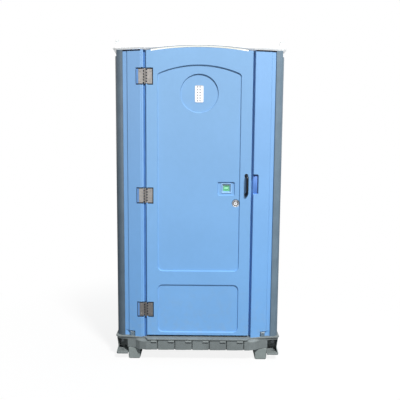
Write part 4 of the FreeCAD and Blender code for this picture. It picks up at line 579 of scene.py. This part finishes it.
plateLook = {"centre": (-0.0005, 1.938), "half": (0.030, 0.059), "corner": 0.010, "thick": 0.0012,
             "columns": (-0.012, 0.006), "rows": 6, "pitch": 0.0190, "dot": 0.0042,
             "bar": (0.024, 0.0012), "barCorner": 0.0005, "barInset": 0.0035, "raised": 0.0003,
             "rimWidth": 0.0022, "rimCorner": 0.012,
             "rim": [(0.0, 0.0), (0.0002, 0.0016), (0.0018, 0.0016), (0.0021, 0.0)]}


def noticePlate():
    # bare white plate in the round recess, with two columns of plain raised dots and a bar above
    x, z = plateLook["centre"]
    seat = frontOf("door_outer_skin", x, z)
    half, thick = plateLook["half"], plateLook["thick"]
    mark = [(0.0, 0.0), (plateLook["raised"], plateLook["raised"])]
    profile = [(0.0, 0.0), (0.0, thick * 0.6), (0.0006, thick), (0.0015, thick)]
    plate = button(half, profile, seat, toRight, toFront, plateLook["corner"])
    publish("noticePlate", [plate], whitePlate, "door")
    dots = []
    for row in range(plateLook["rows"]):
        up = (row - (plateLook["rows"] - 1) / 2) * plateLook["pitch"]
        for across in plateLook["columns"]:
            place = seat + np.array([across, -thick, up])
            dots.append(button((plateLook["dot"],) * 2, mark, place, toRight, toFront, steps=3))
    place = seat + np.array([0.0, -thick, half[1] - plateLook["barInset"]])
    dots.append(button(plateLook["bar"], mark, place, toRight, toFront, plateLook["barCorner"], 2))
    publish("noticeDots", dots, markGrey, "door")
    outer = tuple(value + plateLook["rimWidth"] for value in half)
    rim = hoop(outer, plateLook["rim"], seat, toRight, toFront, plateLook["rimCorner"])
    publish("noticeRim", [rim], doorBlue, "door")


noticePlate()

hingeLook = {
    "x": -0.379,
    "heights": (0.3815, 1.221, 2.056),
    "half": 0.050,
    "doorEdge": -0.329,  # outer ends of the leaves
    "jambEdge": -0.425,
    "clear": 0.0003,
    "padWidth": 0.0080,
    "sideWidth": 0.0064,
    "padThick": 0.0014,
    "padOver": 0.0020,  # how far the upright pad runs past the others
    "padStart": {"door": 0.0155, "jamb": -0.0180},  # from the pin
    "padPast": {"door": 0.0020, "jamb": -0.0175},  # past the leaf or its upright pad
    "slots": {"door_outer_skin": (-0.37275, -0.36375), "hinge_jamb": (-0.3935, -0.3850)},
    "slotProbe": 0.0553,  # above the leaf, where the slot's floor is open to the front
    "slotShadeHalf": 0.0505,
    "slotShade": slab(0.0, 0.0016, 0.0006),
    "rebate": (-0.4434, -0.4258),
    "edgeBead": 0.0028,
    "rebateShadeInset": 0.0045,
    "rebateShade": slab(0.0, 0.0010, 0.0004),
    "beadProfile": slab(0.0, 0.0018, 0.0004),
    "corner": 0.001,
}


def hingeShadePieces():
    # black strips round the leaves and behind the slots between the knuckles, painted shade of the hinge
    # recesses, and a deeper blue sheet with a black bead on the bare floor of the jamb's rebate, painted
    # shade too
    half = hingeLook["half"] + hingeLook["padWidth"] / 2 + hingeLook["clear"]
    thick = hingeLook["padThick"]
    flat, upright = (bead(hingeLook[width] / 2, 0.0, (1.0, thick * 0.7), 0.8, thick)
                     for width in ("padWidth", "sideWidth"))
    start, past = hingeLook["padStart"], hingeLook["padPast"]
    side = hingeLook["doorEdge"] + hingeLook["sideWidth"] / 2 + hingeLook["clear"]
    outer, inner = hingeLook["rebate"]
    step = outer + hingeLook["edgeBead"]
    corner = hingeLook["corner"]
    doorShadePads, jambShadePads, rebateShades, slotShades = [], [], [], {"door_outer_skin": [], "hinge_jamb": []}
    for height in hingeLook["heights"]:
        seat = frontOf("door_outer_skin", hingeLook["doorEdge"] + 0.003, height)[1]
        path = [(side, seat, height + way * (half + hingeLook["padOver"])) for way in (-1, 0, 1)]
        doorShadePads.append(strip(path, upright, toFront))
        for way in (1, -1):
            for pads, low, high in ((doorShadePads, hingeLook["x"] + start["door"], side + past["door"]),
                                    (jambShadePads, hingeLook["jambEdge"] + past["jamb"],
                                     hingeLook["x"] + start["jamb"])):
                path = np.column_stack([np.linspace(low, high, 3), np.full(3, seat),
                                        np.full(3, height + way * half)])
                pads.append(strip(path, flat, toFront))
        for node, (left, right) in hingeLook["slots"].items():
            middle = (left + right) / 2
            floor = frontOf(node, middle, height + hingeLook["slotProbe"])[1]
            slotShades[node].append(button(((right - left) / 2, hingeLook["slotShadeHalf"]), hingeLook["slotShade"],
                                      (middle, floor, height), toRight, toFront, corner, 2))
        floor = frontOf("hinge_jamb", (outer + inner) / 2, height)[1]
        for pieces, low, high, kind in ((rebateShades, step, inner, "rebateShade"),
                                        (jambShadePads, outer, step, "beadProfile")):
            pieces.append(button(((high - low) / 2, half - hingeLook["rebateShadeInset"]), hingeLook[kind],
                                 ((low + high) / 2, floor, height), toRight, toFront, corner, 2))
    publish("jambRebateShade", rebateShades, rebateShadeBlue, "cabin")
    publish("doorHingeShadePads", doorShadePads, rubberAndShadeBlack, "door")
    publish("jambHingeShadePads", jambShadePads, rubberAndShadeBlack, "cabin")
    publish("doorSlotShade", slotShades["door_outer_skin"], rubberAndShadeBlack, "door")
    publish("jambSlotShade", slotShades["hinge_jamb"], rubberAndShadeBlack, "cabin")


hingeShadePieces()

# heights of the four stretches between the hinges; sections in metres left of and in front of the middle
gapLook = {
    "stretches": ((0.178, 0.3215), (0.4415, 1.1610), (1.2810, 1.9960), (2.1160, 2.2340)),
    "bead": [(0.3908, 0.5478), (0.4066, 0.5478), (0.4066, 0.5690), (0.4050, 0.5699), (0.3950, 0.5699),
             (0.3925, 0.5689), (0.3911, 0.5665)],
    "shadeBand": [(0.3760, 0.5515), (0.3909, 0.5515), (0.3909, 0.5562), (0.3770, 0.5562), (0.3760, 0.5552)],
}


def gapBeadAndShade():
    # bead that narrows the gap on the hinge side, and a mid-blue strip down in the gap behind the door's
    # edge, painted shade
    paths = [[(0.0, 0.0, z) for z in (low, (low + high) / 2, high)] for low, high in gapLook["stretches"]]
    for kind, name, finish in (("bead", "hingeGapBead", wallBlue), ("shadeBand", "hingeGapShade", gapShadeBlue)):
        publish(name, [strip(path, gapLook[kind], toFront) for path in paths], finish, "cabin")


gapBeadAndShade()
print("notice plate and hinge seals done")


edgeLook = {
    "archRadius": 2.141,
    "doorTop": 2.2648,
    "doorHalf": 0.373,
    "trimReach": 0.338,
    "trimFront": -0.568,
    "trim": [(-0.0095, -0.002), (-0.0004, -0.005), (-0.0004, -0.0006), (-0.0014, 0.0009), (-0.0076, 0.0013),
             (-0.0095, 0.0008)],
    "jambTop": 2.238,
    "roofShadeHalf": 0.0044,
    "roofShadeGap": 0.0004,
    "roofShadeRuns": {"hinge_jamb": (-0.536, -0.410), "strike_jamb": (0.392, 0.536)},
}


def archOver(x):
    # height of the door's top edge: a circle of archRadius that peaks at doorTop
    radius = edgeLook["archRadius"]
    return edgeLook["doorTop"] - radius + np.sqrt(radius * radius - x * x)


def topTrims():
    # pale bead with a painted glow along the arched top edge of the door, and black strips under the level
    # parts of the roof, painted shade under its edge
    x = np.linspace(-edgeLook["trimReach"], edgeLook["trimReach"], 61)
    path = np.column_stack([x, np.full(len(x), edgeLook["trimFront"]), archOver(x)])
    publish("doorTopTrim", [strip(path, edgeLook["trim"], toFront)], trimWhite, "door")
    half = edgeLook["roofShadeHalf"]
    section = bead(half, -0.001, (1.0, 0.0018), 0.5, 0.0026)
    z = edgeLook["jambTop"] - half - edgeLook["roofShadeGap"]
    roofShades = []
    for node, (low, high) in edgeLook["roofShadeRuns"].items():
        x = np.linspace(low, high, 25)
        y = [frontOf(node, value, z)[1] for value in x]
        roofShades.append(strip(np.column_stack([x, y, np.full(len(x), z)]), section, toFront))
    publish("roofShadeStrips", roofShades, rubberAndShadeBlack, "cabin")


topTrims()

windowLook = {
    "centre": (0.198, 1.277),
    "dishSpot": (0.1505, 1.2725),  # a bare place on the floor of the dish
    "rimHalf": (0.0355, 0.0350),
    "rimCorner": 0.004,
    "rim": [(0.0, -0.0005), (0.0, 0.0030), (0.0010, 0.0040), (0.0036, 0.0040), (0.0050, 0.0010),
            (0.0050, -0.0005)],
    "paneHalf": (0.0312, 0.0307),
    "paneCorner": 0.003,
    "pane": slab(0.0004, 0.0012, 0.0006),
    "paneTints": ((0.86, 0.92, 0.96), (0.74, 0.82, 0.88)),
}


def windowSeat():
    # middle of the indicator window, on the floor of its dish
    x, z = windowLook["centre"]
    return x, frontOf("door_outer_skin", *windowLook["dishSpot"])[1], z


def indicatorRim():
    # frame round the indicator window
    rim = hoop(windowLook["rimHalf"], windowLook["rim"], windowSeat(), toRight, toFront,
               windowLook["rimCorner"])
    publish("indicatorRim", [rim], paleBlue, "door")


indicatorRim()

# rings as (outer radius, profile); spots are places right of the middle where a ray meets bare metal or floor
lockLook = {
    "centre": (0.265, 1.169),
    "faceSpot": 0.018,
    "dishSpot": 0.0265,
    "plugSpot": 0.005,
    "ring": (0.0235, [(0.0, -0.001), (0.0, 0.0006), (0.0006, 0.0012), (0.0020, 0.0012), (0.0032, 0.0004),
                      (0.0040, -0.001)]),
    "collar": (0.0142, [(0.0, -0.001), (0.0, 0.0016), (0.0007, 0.0022), (0.0015, 0.0022), (0.0019, -0.001)]),
    "grooveShade": (0.0198, [(0.0, -0.0004), (0.0002, 0.0003), (0.0052, 0.0003), (0.0056, -0.0004)]),
    "shadeBand": (0.0268, [(0.0, -0.0005), (0.0004, 0.0008), (0.0020, 0.0008), (0.0026, -0.0005)]),
    "lipRadius": 0.0288,
    "lipTurn": (205.0, 335.0),
    "lip": [(-0.0016, -0.0020), (0.0020, -0.0020), (0.0016, 0.0010), (-0.0012, 0.0003)],
    "slit": (0.0011, 0.0046),
    "slitProfile": slab(-0.003, -0.0012, 0.0002),
}


def lockDetail():
    # bright rings round the lock, a black groove ring and a black ring in the dish as painted shade, a pale
    # lip below it as a painted highlight, and a black inset in the key slot as painted shade
    x, z = lockLook["centre"]
    face, dish, plug = (frontOf(node, x + lockLook[spot], z)[1] for node, spot in (
        ("lock_barrel", "faceSpot"), ("door_outer_skin", "dishSpot"), ("lock_plug", "plugSpot")))

    def ring(kind, y):
        radius, profile = lockLook[kind]
        return hoop((radius, radius), profile, (x, y, z), toRight, toFront, steps=12)

    publish("lockRings", [ring("ring", face), ring("collar", face)], chrome, "door")
    publish("lockGrooveShade", [ring("grooveShade", face)], rubberAndShadeBlack, "door")
    publish("lockDishShade", [ring("shadeBand", dish)], rubberAndShadeBlack, "door")
    # painted highlight: a pale crescent below the lock stands in for the lit lower wall of the dish
    turn = np.radians(np.linspace(*lockLook["lipTurn"], 15))
    radius = lockLook["lipRadius"]
    bow = np.column_stack([x + radius * np.cos(turn), np.full(15, dish), z + radius * np.sin(turn)])
    publish("lockHighlightLip", [strip(bow, lockLook["lip"], toFront)], whitePlate, "door")
    slit = button(lockLook["slit"], lockLook["slitProfile"], (x, plug, z), toRight, toFront, 0.0010, 3)
    publish("keySlitShade", [slit], rubberAndShadeBlack, "key")


lockDetail()

clipLook = {"x": 0.4815, "z": 0.199, "sunk": 0.0002, "head": 0.0042, "tall": 0.0022}


def clipScrews():
    # one domed head on each clip at the feet of the jambs
    places = [frontOf("jamb_clips", side * clipLook["x"], clipLook["z"]) + [0.0, clipLook["sunk"], 0.0]
              for side in (-1, 1)]
    headsOn("clipScrews", places, clipLook["head"], clipLook["tall"], toFront, toRight, zinc, "cabin")


clipScrews()
print("edge trims, window frame, lock and clips done")


pocketLook = {"x": 0.4063, "z": 1.308, "half": (0.0180, 0.0685), "corner": 0.006,
              "sheet": [(0.0, -0.0002), (0.0, 0.0004), (0.0004, 0.0007)],
              "edge": 0.0034, "bend": 0.005, "edgeStart": 0.001, "edgeEnd": 0.003}


def pocketShadeSheet():
    # deeper blue sheet on the floor of the finger pocket, painted shade, and a darker bead along its top and
    # its far side, painted shadow of its walls
    eye = (pocketLook["x"], -1.0, pocketLook["z"])
    seat, facing = touch("strike_jamb", eye, (0.0, 1.0, 0.0), True)
    wide, tall = pocketLook["half"]
    along = np.cross((0.0, 0.0, 1.0), -facing)
    along *= np.sign(along[0])
    sheet = button((wide, tall), pocketLook["sheet"], seat, along, facing, pocketLook["corner"])
    publish("pocketShadeSheet", [sheet], pocketShadeBlue, "cabin")
    half, bend = pocketLook["edge"], pocketLook["bend"]
    turn = np.radians(np.linspace(90.0, 0.0, 6))
    centre = np.array([wide - half - bend, tall - half - bend])
    bow = centre + bend * np.stack([np.cos(turn), np.sin(turn)], axis=1)
    start, end = [-wide + pocketLook["edgeStart"], tall - half], [wide - half, -tall + pocketLook["edgeEnd"]]
    run = np.concatenate([[start], bow, [end]])
    path = seat + run[:, :1] * along + run[:, 1:] * np.array([0.0, 0.0, 1.0])
    section = bead(half, 0.0, (1.0, 0.0012), 0.5, 0.0018)
    publish("pocketShadowBeads", [strip(path, section, facing)], pocketShadowEdge, "cabin")


pocketShadeSheet()


def indicatorPane():
    # clear pane over the flag, held in the pale frame
    f = Finish("clearPane")
    smear = f.noise(60.0, 4.0, 0.6)
    clear = f.shade(Base_Color=f.blend(smear, *windowLook["paneTints"]), Roughness=smear * 0.1 + 0.05,
                    Alpha=smear * 0.05 + 0.02, Specular_IOR_Level=0.4)
    pane = button(windowLook["paneHalf"], windowLook["pane"], windowSeat(), toRight, toFront,
                  windowLook["paneCorner"], 4)
    publish("indicatorPane", [pane], clear, "door")


indicatorPane()

rivetLook = {"count": 11, "low": 0.26, "high": 2.14, "head": 0.0048, "tall": 0.0017, "front": -0.4465,
             "rear": 0.5480}


def wallRivets():
    # rows of blind rivets that hold the side and rear panels in the corner posts
    rows = {"left": [], "right": [], "rear": []}
    for z in np.linspace(rivetLook["low"], rivetLook["high"], rivetLook["count"]):
        for side, sign in (("left", -1.0), ("right", 1.0)):
            for end in ("front", "rear"):
                start = (sign, rivetLook[end], z)
                rows[side].append(touch("post_" + end + "_" + side, start, (-sign, 0.0, 0.0)))
            start = (sign * rivetLook["rear"], 1.0, z)
            rows["rear"].append(touch("post_rear_" + side, start, (0.0, -1.0, 0.0)))
    for side, out, right in (("left", toLeft, toRear), ("right", toRight, toFront), ("rear", toRear, toLeft)):
        headsOn(side + "Rivets", rows[side], rivetLook["head"], rivetLook["tall"], out, right, zinc, "cabin")


wallRivets()

roofTrimLook = {
    "ribs": (-0.385, -0.2565, -0.128, 0.0, 0.128, 0.2565, 0.385, 0.50),
    "front": -0.36,
    "rear": 0.50,
    "half": 0.011,
    "tall": 0.0026,
    "screwHeight": 2.2255,
    "sideScrews": np.linspace(-0.38, 0.52, 6),
    "rearScrews": np.linspace(-0.5, 0.5, 6),
    "head": 0.0060,
    "headTall": 0.0024,
    "sunk": 0.0012,
}


def roofDetail():
    # low stiffening ribs over the crown and screws through the rim
    tall = roofTrimLook["tall"]
    section = bead(roofTrimLook["half"], -0.0008, (0.8, tall * 0.6), 0.45, tall)
    y = np.linspace(roofTrimLook["front"], roofTrimLook["rear"], 30)
    ribs = []
    for x in roofTrimLook["ribs"]:
        z = [touch("roof", (x, value, 3.0), (0.0, 0.0, -1.0))[2] for value in y]
        ribs.append(strip(np.column_stack([np.full(len(y), x), y, z]), section, toTop))
    publish("roofRibs", ribs, roofWhite, "cabin")
    z = roofTrimLook["screwHeight"]
    left, right = ([touch("roof", (sign, y, z), (-sign, 0.0, 0.0)) for y in roofTrimLook["sideScrews"]]
                   for sign in (-1.0, 1.0))
    rear = [touch("roof", (x, 1.0, z), (0.0, -1.0, 0.0)) for x in roofTrimLook["rearScrews"]]
    for side, places, out, along in (("Left", left, toLeft, toRear), ("Right", right, toRight, toFront),
                                     ("Rear", rear, toRear, toLeft)):
        inside = [place - np.array(out) * roofTrimLook["sunk"] for place in places]
        headsOn("roofScrews" + side, inside, roofTrimLook["head"], roofTrimLook["headTall"], out, along, zinc,
                "cabin")


roofDetail()

screenLook = {"x": 0.5732, "y": (-0.1935, 0.2935), "z": 2.089, "half": (0.1600, 0.0560), "corner": 0.004,
              "thick": 0.0005, "pitch": 0.0036, "thread": (0.0007, 0.0010),
              "colours": (srgb(70, 74, 78), srgb(52, 56, 60))}


def meshScreens():
    # insect screens behind the vent grilles: a thin sheet pierced by a square grid
    f = Finish("screenMesh")
    pitch, thread = screenLook["pitch"], screenLook["thread"]
    across, upright = (abs(f.axis(letter).wrap(pitch) - pitch / 2).step(*thread) for letter in "YZ")
    colour = f.blend(f.noise(50.0), *screenLook["colours"])
    mesh = f.shade(Base_Color=colour, Roughness=0.55, Alpha=across.most(upright))
    profile = [(0.0, 0.0), (0.0, screenLook["thick"])]
    sheets = [button(screenLook["half"], profile, (side * screenLook["x"], y, screenLook["z"]), right, out,
                     screenLook["corner"], 2)
              for side, out, right in ((-1, toRight, toFront), (1, toLeft, toRear)) for y in screenLook["y"]]
    publish("ventScreens", sheets, mesh, "cabin")


meshScreens()
print("pocket, pane, rivets, roof ribs and screens done")


sealLook = {"inset": 0.0095, "half": 0.0055, "thick": 0.0008, "back": -0.530, "bottom": 0.187,
            "corner": 0.004, "ease": (0.03, 0.02)}  # straight runs keep this far from the corners


def doorSeal():
    # flat rubber seal round the back of the door, closed under the arch
    gap, corner = sealLook["inset"], sealLook["corner"]
    x = np.linspace(-edgeLook["doorHalf"] + gap, edgeLook["doorHalf"] - gap, 41)
    top = archOver(x) - gap
    low = sealLook["bottom"] + gap
    rise = np.linspace(low + sealLook["ease"][0], top[0] - sealLook["ease"][1], 20)
    run = np.concatenate([[[0.0, low], [x[0] + corner, low], [x[0], low + corner]],
                          np.column_stack([np.full(20, x[0]), rise]),
                          np.column_stack([x, top]),
                          np.column_stack([np.full(20, x[-1]), rise[::-1]]),
                          [[x[-1], low + corner], [x[-1] - corner, low], [0.0, low]]])
    path = np.column_stack([run[:, 0], np.full(len(run), sealLook["back"]), run[:, 1]])
    section = bead(sealLook["half"], -0.0003, (1.0, sealLook["thick"] * 0.5), 0.6, sealLook["thick"])
    publish("doorSeal", [strip(path, section, toRear)], rubberAndShadeBlack, "door")


doorSeal()

studLook = {"pitch": 0.040, "radius": 0.0075, "tall": 0.0016, "x": (-0.52, 0.52), "y": (-0.455, 0.065),
            "ribs": (-0.516, -0.507, -0.498), "ribReach": 0.36, "ribHalf": 0.0022, "ribTop": 0.0014,
            "ribTall": 0.0012}


def floorStuds():
    # staggered anti-slip studs on the floor, ribs along the threshold
    pitch, tall = studLook["pitch"], studLook["tall"]
    profile = [(0.0, -0.0003), (0.0006, tall * 0.8), (0.0018, tall)]
    studs = []
    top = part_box("floor_panel")[1][2]
    for row, y in enumerate(np.arange(*studLook["y"], pitch / 2)):
        for x in np.arange(studLook["x"][0] + (row % 2) * pitch / 2, studLook["x"][1], pitch):
            studs.append(button((studLook["radius"],) * 2, profile, (x, y, top), toRight, toTop, steps=2))
    publish("floorStuds", studs, floorGrey, "cabin", 30.0)
    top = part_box("threshold")[1][2]
    half, crown, tall, reach = (studLook[key] for key in ("ribHalf", "ribTop", "ribTall", "ribReach"))
    section = [(-half, -0.0004), (half, -0.0004), (crown, tall), (-crown, tall)]
    ribs = [strip([(x, y, top) for x in (-reach, 0.0, reach)], section, toTop) for y in studLook["ribs"]]
    publish("thresholdRibs", ribs, floorGrey, "cabin")


floorStuds()

washerLook = {"x": 0.574, "front": -0.437, "rear": 0.480, "z": 0.095, "radius": 0.0135,
              "profile": slab(-0.0004, 0.0008, 0.0004)}
capLook = {"radius": 0.0694, "rise": 0.006,
           "profile": [(0.0, 0.0), (0.0, 0.0040), (0.0008, 0.0048), (0.0030, 0.0048), (0.0030, 0.0)]}


def outerFittings():
    # washers at the tie-down bolts, ring round the vent cap
    size = (washerLook["radius"],) * 2
    washers = [button(size, washerLook["profile"], (side * washerLook["x"], washerLook[end], washerLook["z"]),
                      toRight, out)
               for side in (-1, 1) for end, out in (("front", toFront), ("rear", toRear))]
    publish("boltWashers", washers, zinc, "cabin")
    low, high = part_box("vent_cap")
    middle = ((low[0] + high[0]) / 2, (low[1] + high[1]) / 2, low[2] + capLook["rise"])
    ring = hoop((capLook["radius"],) * 2, capLook["profile"], middle, toRight, toTop, steps=14)
    publish("ventCapRing", [ring], pipeGrey, "cabin")


outerFittings()

tankScrewLook = {"x": (-0.52, -0.38, 0.30, 0.42, 0.54), "y": (0.115, 0.530), "head": 0.0065, "tall": 0.0024}
drainLook = {
    "place": (0.512, -0.070),
    "radius": 0.0250,
    "profile": [(0.0, -0.0003), (0.0, 0.0012), (0.0012, 0.0018), (0.0045, 0.0006), (0.0045, -0.0003)],
    "holes": 6,
    "holeCircle": 0.0115,
    "holeRadius": 0.0030,
    "holeProfile": [(0.0, -0.0004), (0.0004, 0.0003)],
}
holderScrewLook = {"y": (-0.030, 0.050), "z": (0.862, 0.914), "head": 0.0038, "tall": 0.0016}


def innerFittings():
    # screws of the tank's top, ring of the urinal's drain and black discs that stand in for the shade in its
    # holes, screws of the paper holder
    places = [touch("tank_top", (x, y, 0.8), (0.0, 0.0, -1.0)) for x in tankScrewLook["x"]
              for y in tankScrewLook["y"]]
    headsOn("tankScrews", places, tankScrewLook["head"], tankScrewLook["tall"], toTop, toRight, zinc, "cabin")
    drain = touch("urinal", (*drainLook["place"], 0.90), (0.0, 0.0, -1.0))
    dish = hoop((drainLook["radius"],) * 2, drainLook["profile"], drain, toRight, toTop)
    publish("urinalDrainRing", [dish], chrome, "cabin")
    turn = np.radians(np.arange(drainLook["holes"]) * 360.0 / drainLook["holes"])
    circle = drainLook["holeCircle"]
    spots = [(0.0, 0.0)] + [(circle * np.cos(angle), circle * np.sin(angle)) for angle in turn]
    holes = [button((drainLook["holeRadius"],) * 2, drainLook["holeProfile"], drain + [x, y, 0.0], toRight,
                    toTop, steps=3) for x, y in spots]
    publish("urinalDrainHoleShades", holes, rubberAndShadeBlack, "cabin")
    places = [touch("paper_holder", (0.0, y, z), (-1.0, 0.0, 0.0)) for y in holderScrewLook["y"]
              for z in holderScrewLook["z"]]
    headsOn("holderScrews", places, holderScrewLook["head"], holderScrewLook["tall"], toRight, toRear, zinc,
            "cabin")


innerFittings()
print("seal, studs and fittings done")


# Floor, background, light and camera

stage = {
    "floorSize": 60.0,
    "floorSeen": srgb(240, 240, 240),
    "floorBounce": srgb(112, 114, 118),
    "aim": (0.0, 0.0, 1.1),
    "key": (3.3, -7.4, 9.4),
    "keySize": 1.5,
    "keyPower": 1740.0,
    "fill": (-0.8, -7.5, 1.0),
    "fillSize": 3.0,
    "fillPower": 60.0,
    "rear": (1.5, 6.0, 4.5),
    "rearAim": (0.0, 0.0, 1.2),
    "rearSize": 3.0,
    "rearPower": 160.0,
    "sky": 0.13,
    "skyTint": (0.86, 0.94, 1.0),
    "shadow": 0.12,
    "shadowReach": (0.8, 2.2),
}


def whiteBackground():
    # the world lights the cabin softly and shows white to the camera and in reflections
    world = bpy.data.worlds.new("studio")
    bpy.context.scene.world = world
    f = Finish("studio", world)
    rays = [f.add("ShaderNodeLightPath", {}, {}, "Is " + kind + " Ray") for kind in
            ("Camera", "Transmission", "Glossy")]
    soft, white = (f.add("ShaderNodeBackground", {}, {"Color": colour, "Strength": strength}, "Background")
                   for colour, strength in ((stage["skyTint"], stage["sky"]), ((1.0, 1.0, 1.0), 1.0)))
    seen = rays[0].most(rays[1]).most(rays[2])
    mixed = f.add("ShaderNodeMixShader", {}, {0: seen, 1: soft, 2: white}, "Shader")
    f.close(mixed, "ShaderNodeOutputWorld")


def paleFloor():
    # a plain floor that reads white to the camera but keeps part of the cabin's shadow
    half = stage["floorSize"] / 2
    mesh = bpy.data.meshes.new("floor")
    corners = [(-half, -half, 0), (half, -half, 0), (half, half, 0), (-half, half, 0)]
    mesh.from_pydata(corners, [], [(0, 1, 2, 3)])
    floor = bpy.data.objects.new("floor", mesh)
    bpy.context.collection.objects.link(floor)
    f = Finish("floorWhite")
    seen = f.add("ShaderNodeLightPath", {}, {}, "Is Camera Ray")
    x, y = f.axis("X"), f.axis("Y")
    inner, outer = stage["shadowReach"]
    near = ((x * x + y * y) ** 0.5).step(outer, inner) * stage["shadow"]
    colour = f.blend(seen, stage["floorBounce"], stage["floorSeen"])
    matt = f.add("ShaderNodeBsdfDiffuse", {}, {"Color": colour}, "BSDF")
    glow = f.add("ShaderNodeEmission", {}, {"Color": (1.0, 1.0, 1.0), "Strength": 1.0}, "Emission")
    f.close(f.add("ShaderNodeMixShader", {}, {0: seen * (1.0 - near), 1: matt, 2: glow}, "Shader"))
    mesh.materials.append(f.owner)


def lamp(name, place, aim, size, power):
    # a square lamp turned from its place towards aim
    light = bpy.data.lights.new(name, "AREA")
    light.size = size
    light.energy = power
    lampObject = bpy.data.objects.new(name, light)
    bpy.context.collection.objects.link(lampObject)
    away = np.array(place) - np.array(aim)
    lampObject.location = place
    lampObject.rotation_euler = (math.atan2(math.hypot(away[0], away[1]), away[2]), 0.0,
                                 math.atan2(away[0], -away[1]))


whiteBackground()
paleFloor()
lamp("keyLight", stage["key"], stage["aim"], stage["keySize"], stage["keyPower"])
lamp("fillLight", stage["fill"], stage["aim"], stage["fillSize"], stage["fillPower"])
lamp("rearLight", stage["rear"], stage["rearAim"], stage["rearSize"], stage["rearPower"])

view = {"place": (0.024, -4.390, 1.671), "down": 7.136, "left": -0.204, "roll": 0.433, "lens": 48.6}


def camera():
    # right, up and backward axes from the heading, the tilt down and the roll
    yaw, tilt, roll = (math.radians(view[key]) for key in ("left", "down", "roll"))
    ahead = np.array([math.sin(yaw) * math.cos(tilt), math.cos(yaw) * math.cos(tilt), -math.sin(tilt)])
    right = np.array([math.cos(yaw), -math.sin(yaw), 0.0])
    up = np.cross(right, ahead)
    turned = math.cos(roll) * right + math.sin(roll) * up
    upright = math.cos(roll) * up - math.sin(roll) * right
    lens = bpy.data.cameras.new("camera")
    lens.sensor_width = 36.0
    lens.lens = view["lens"]
    lens.clip_end = 200.0
    eye = bpy.data.objects.new("camera", lens)
    bpy.context.collection.objects.link(eye)
    grid = np.eye(4)
    grid[:3, 0], grid[:3, 1], grid[:3, 2], grid[:3, 3] = turned, upright, -ahead, view["place"]
    eye.matrix_world = Matrix(grid.tolist())
    bpy.context.scene.camera = eye


camera()
bpy.context.scene.view_settings.view_transform = "Standard"
print("stage done")
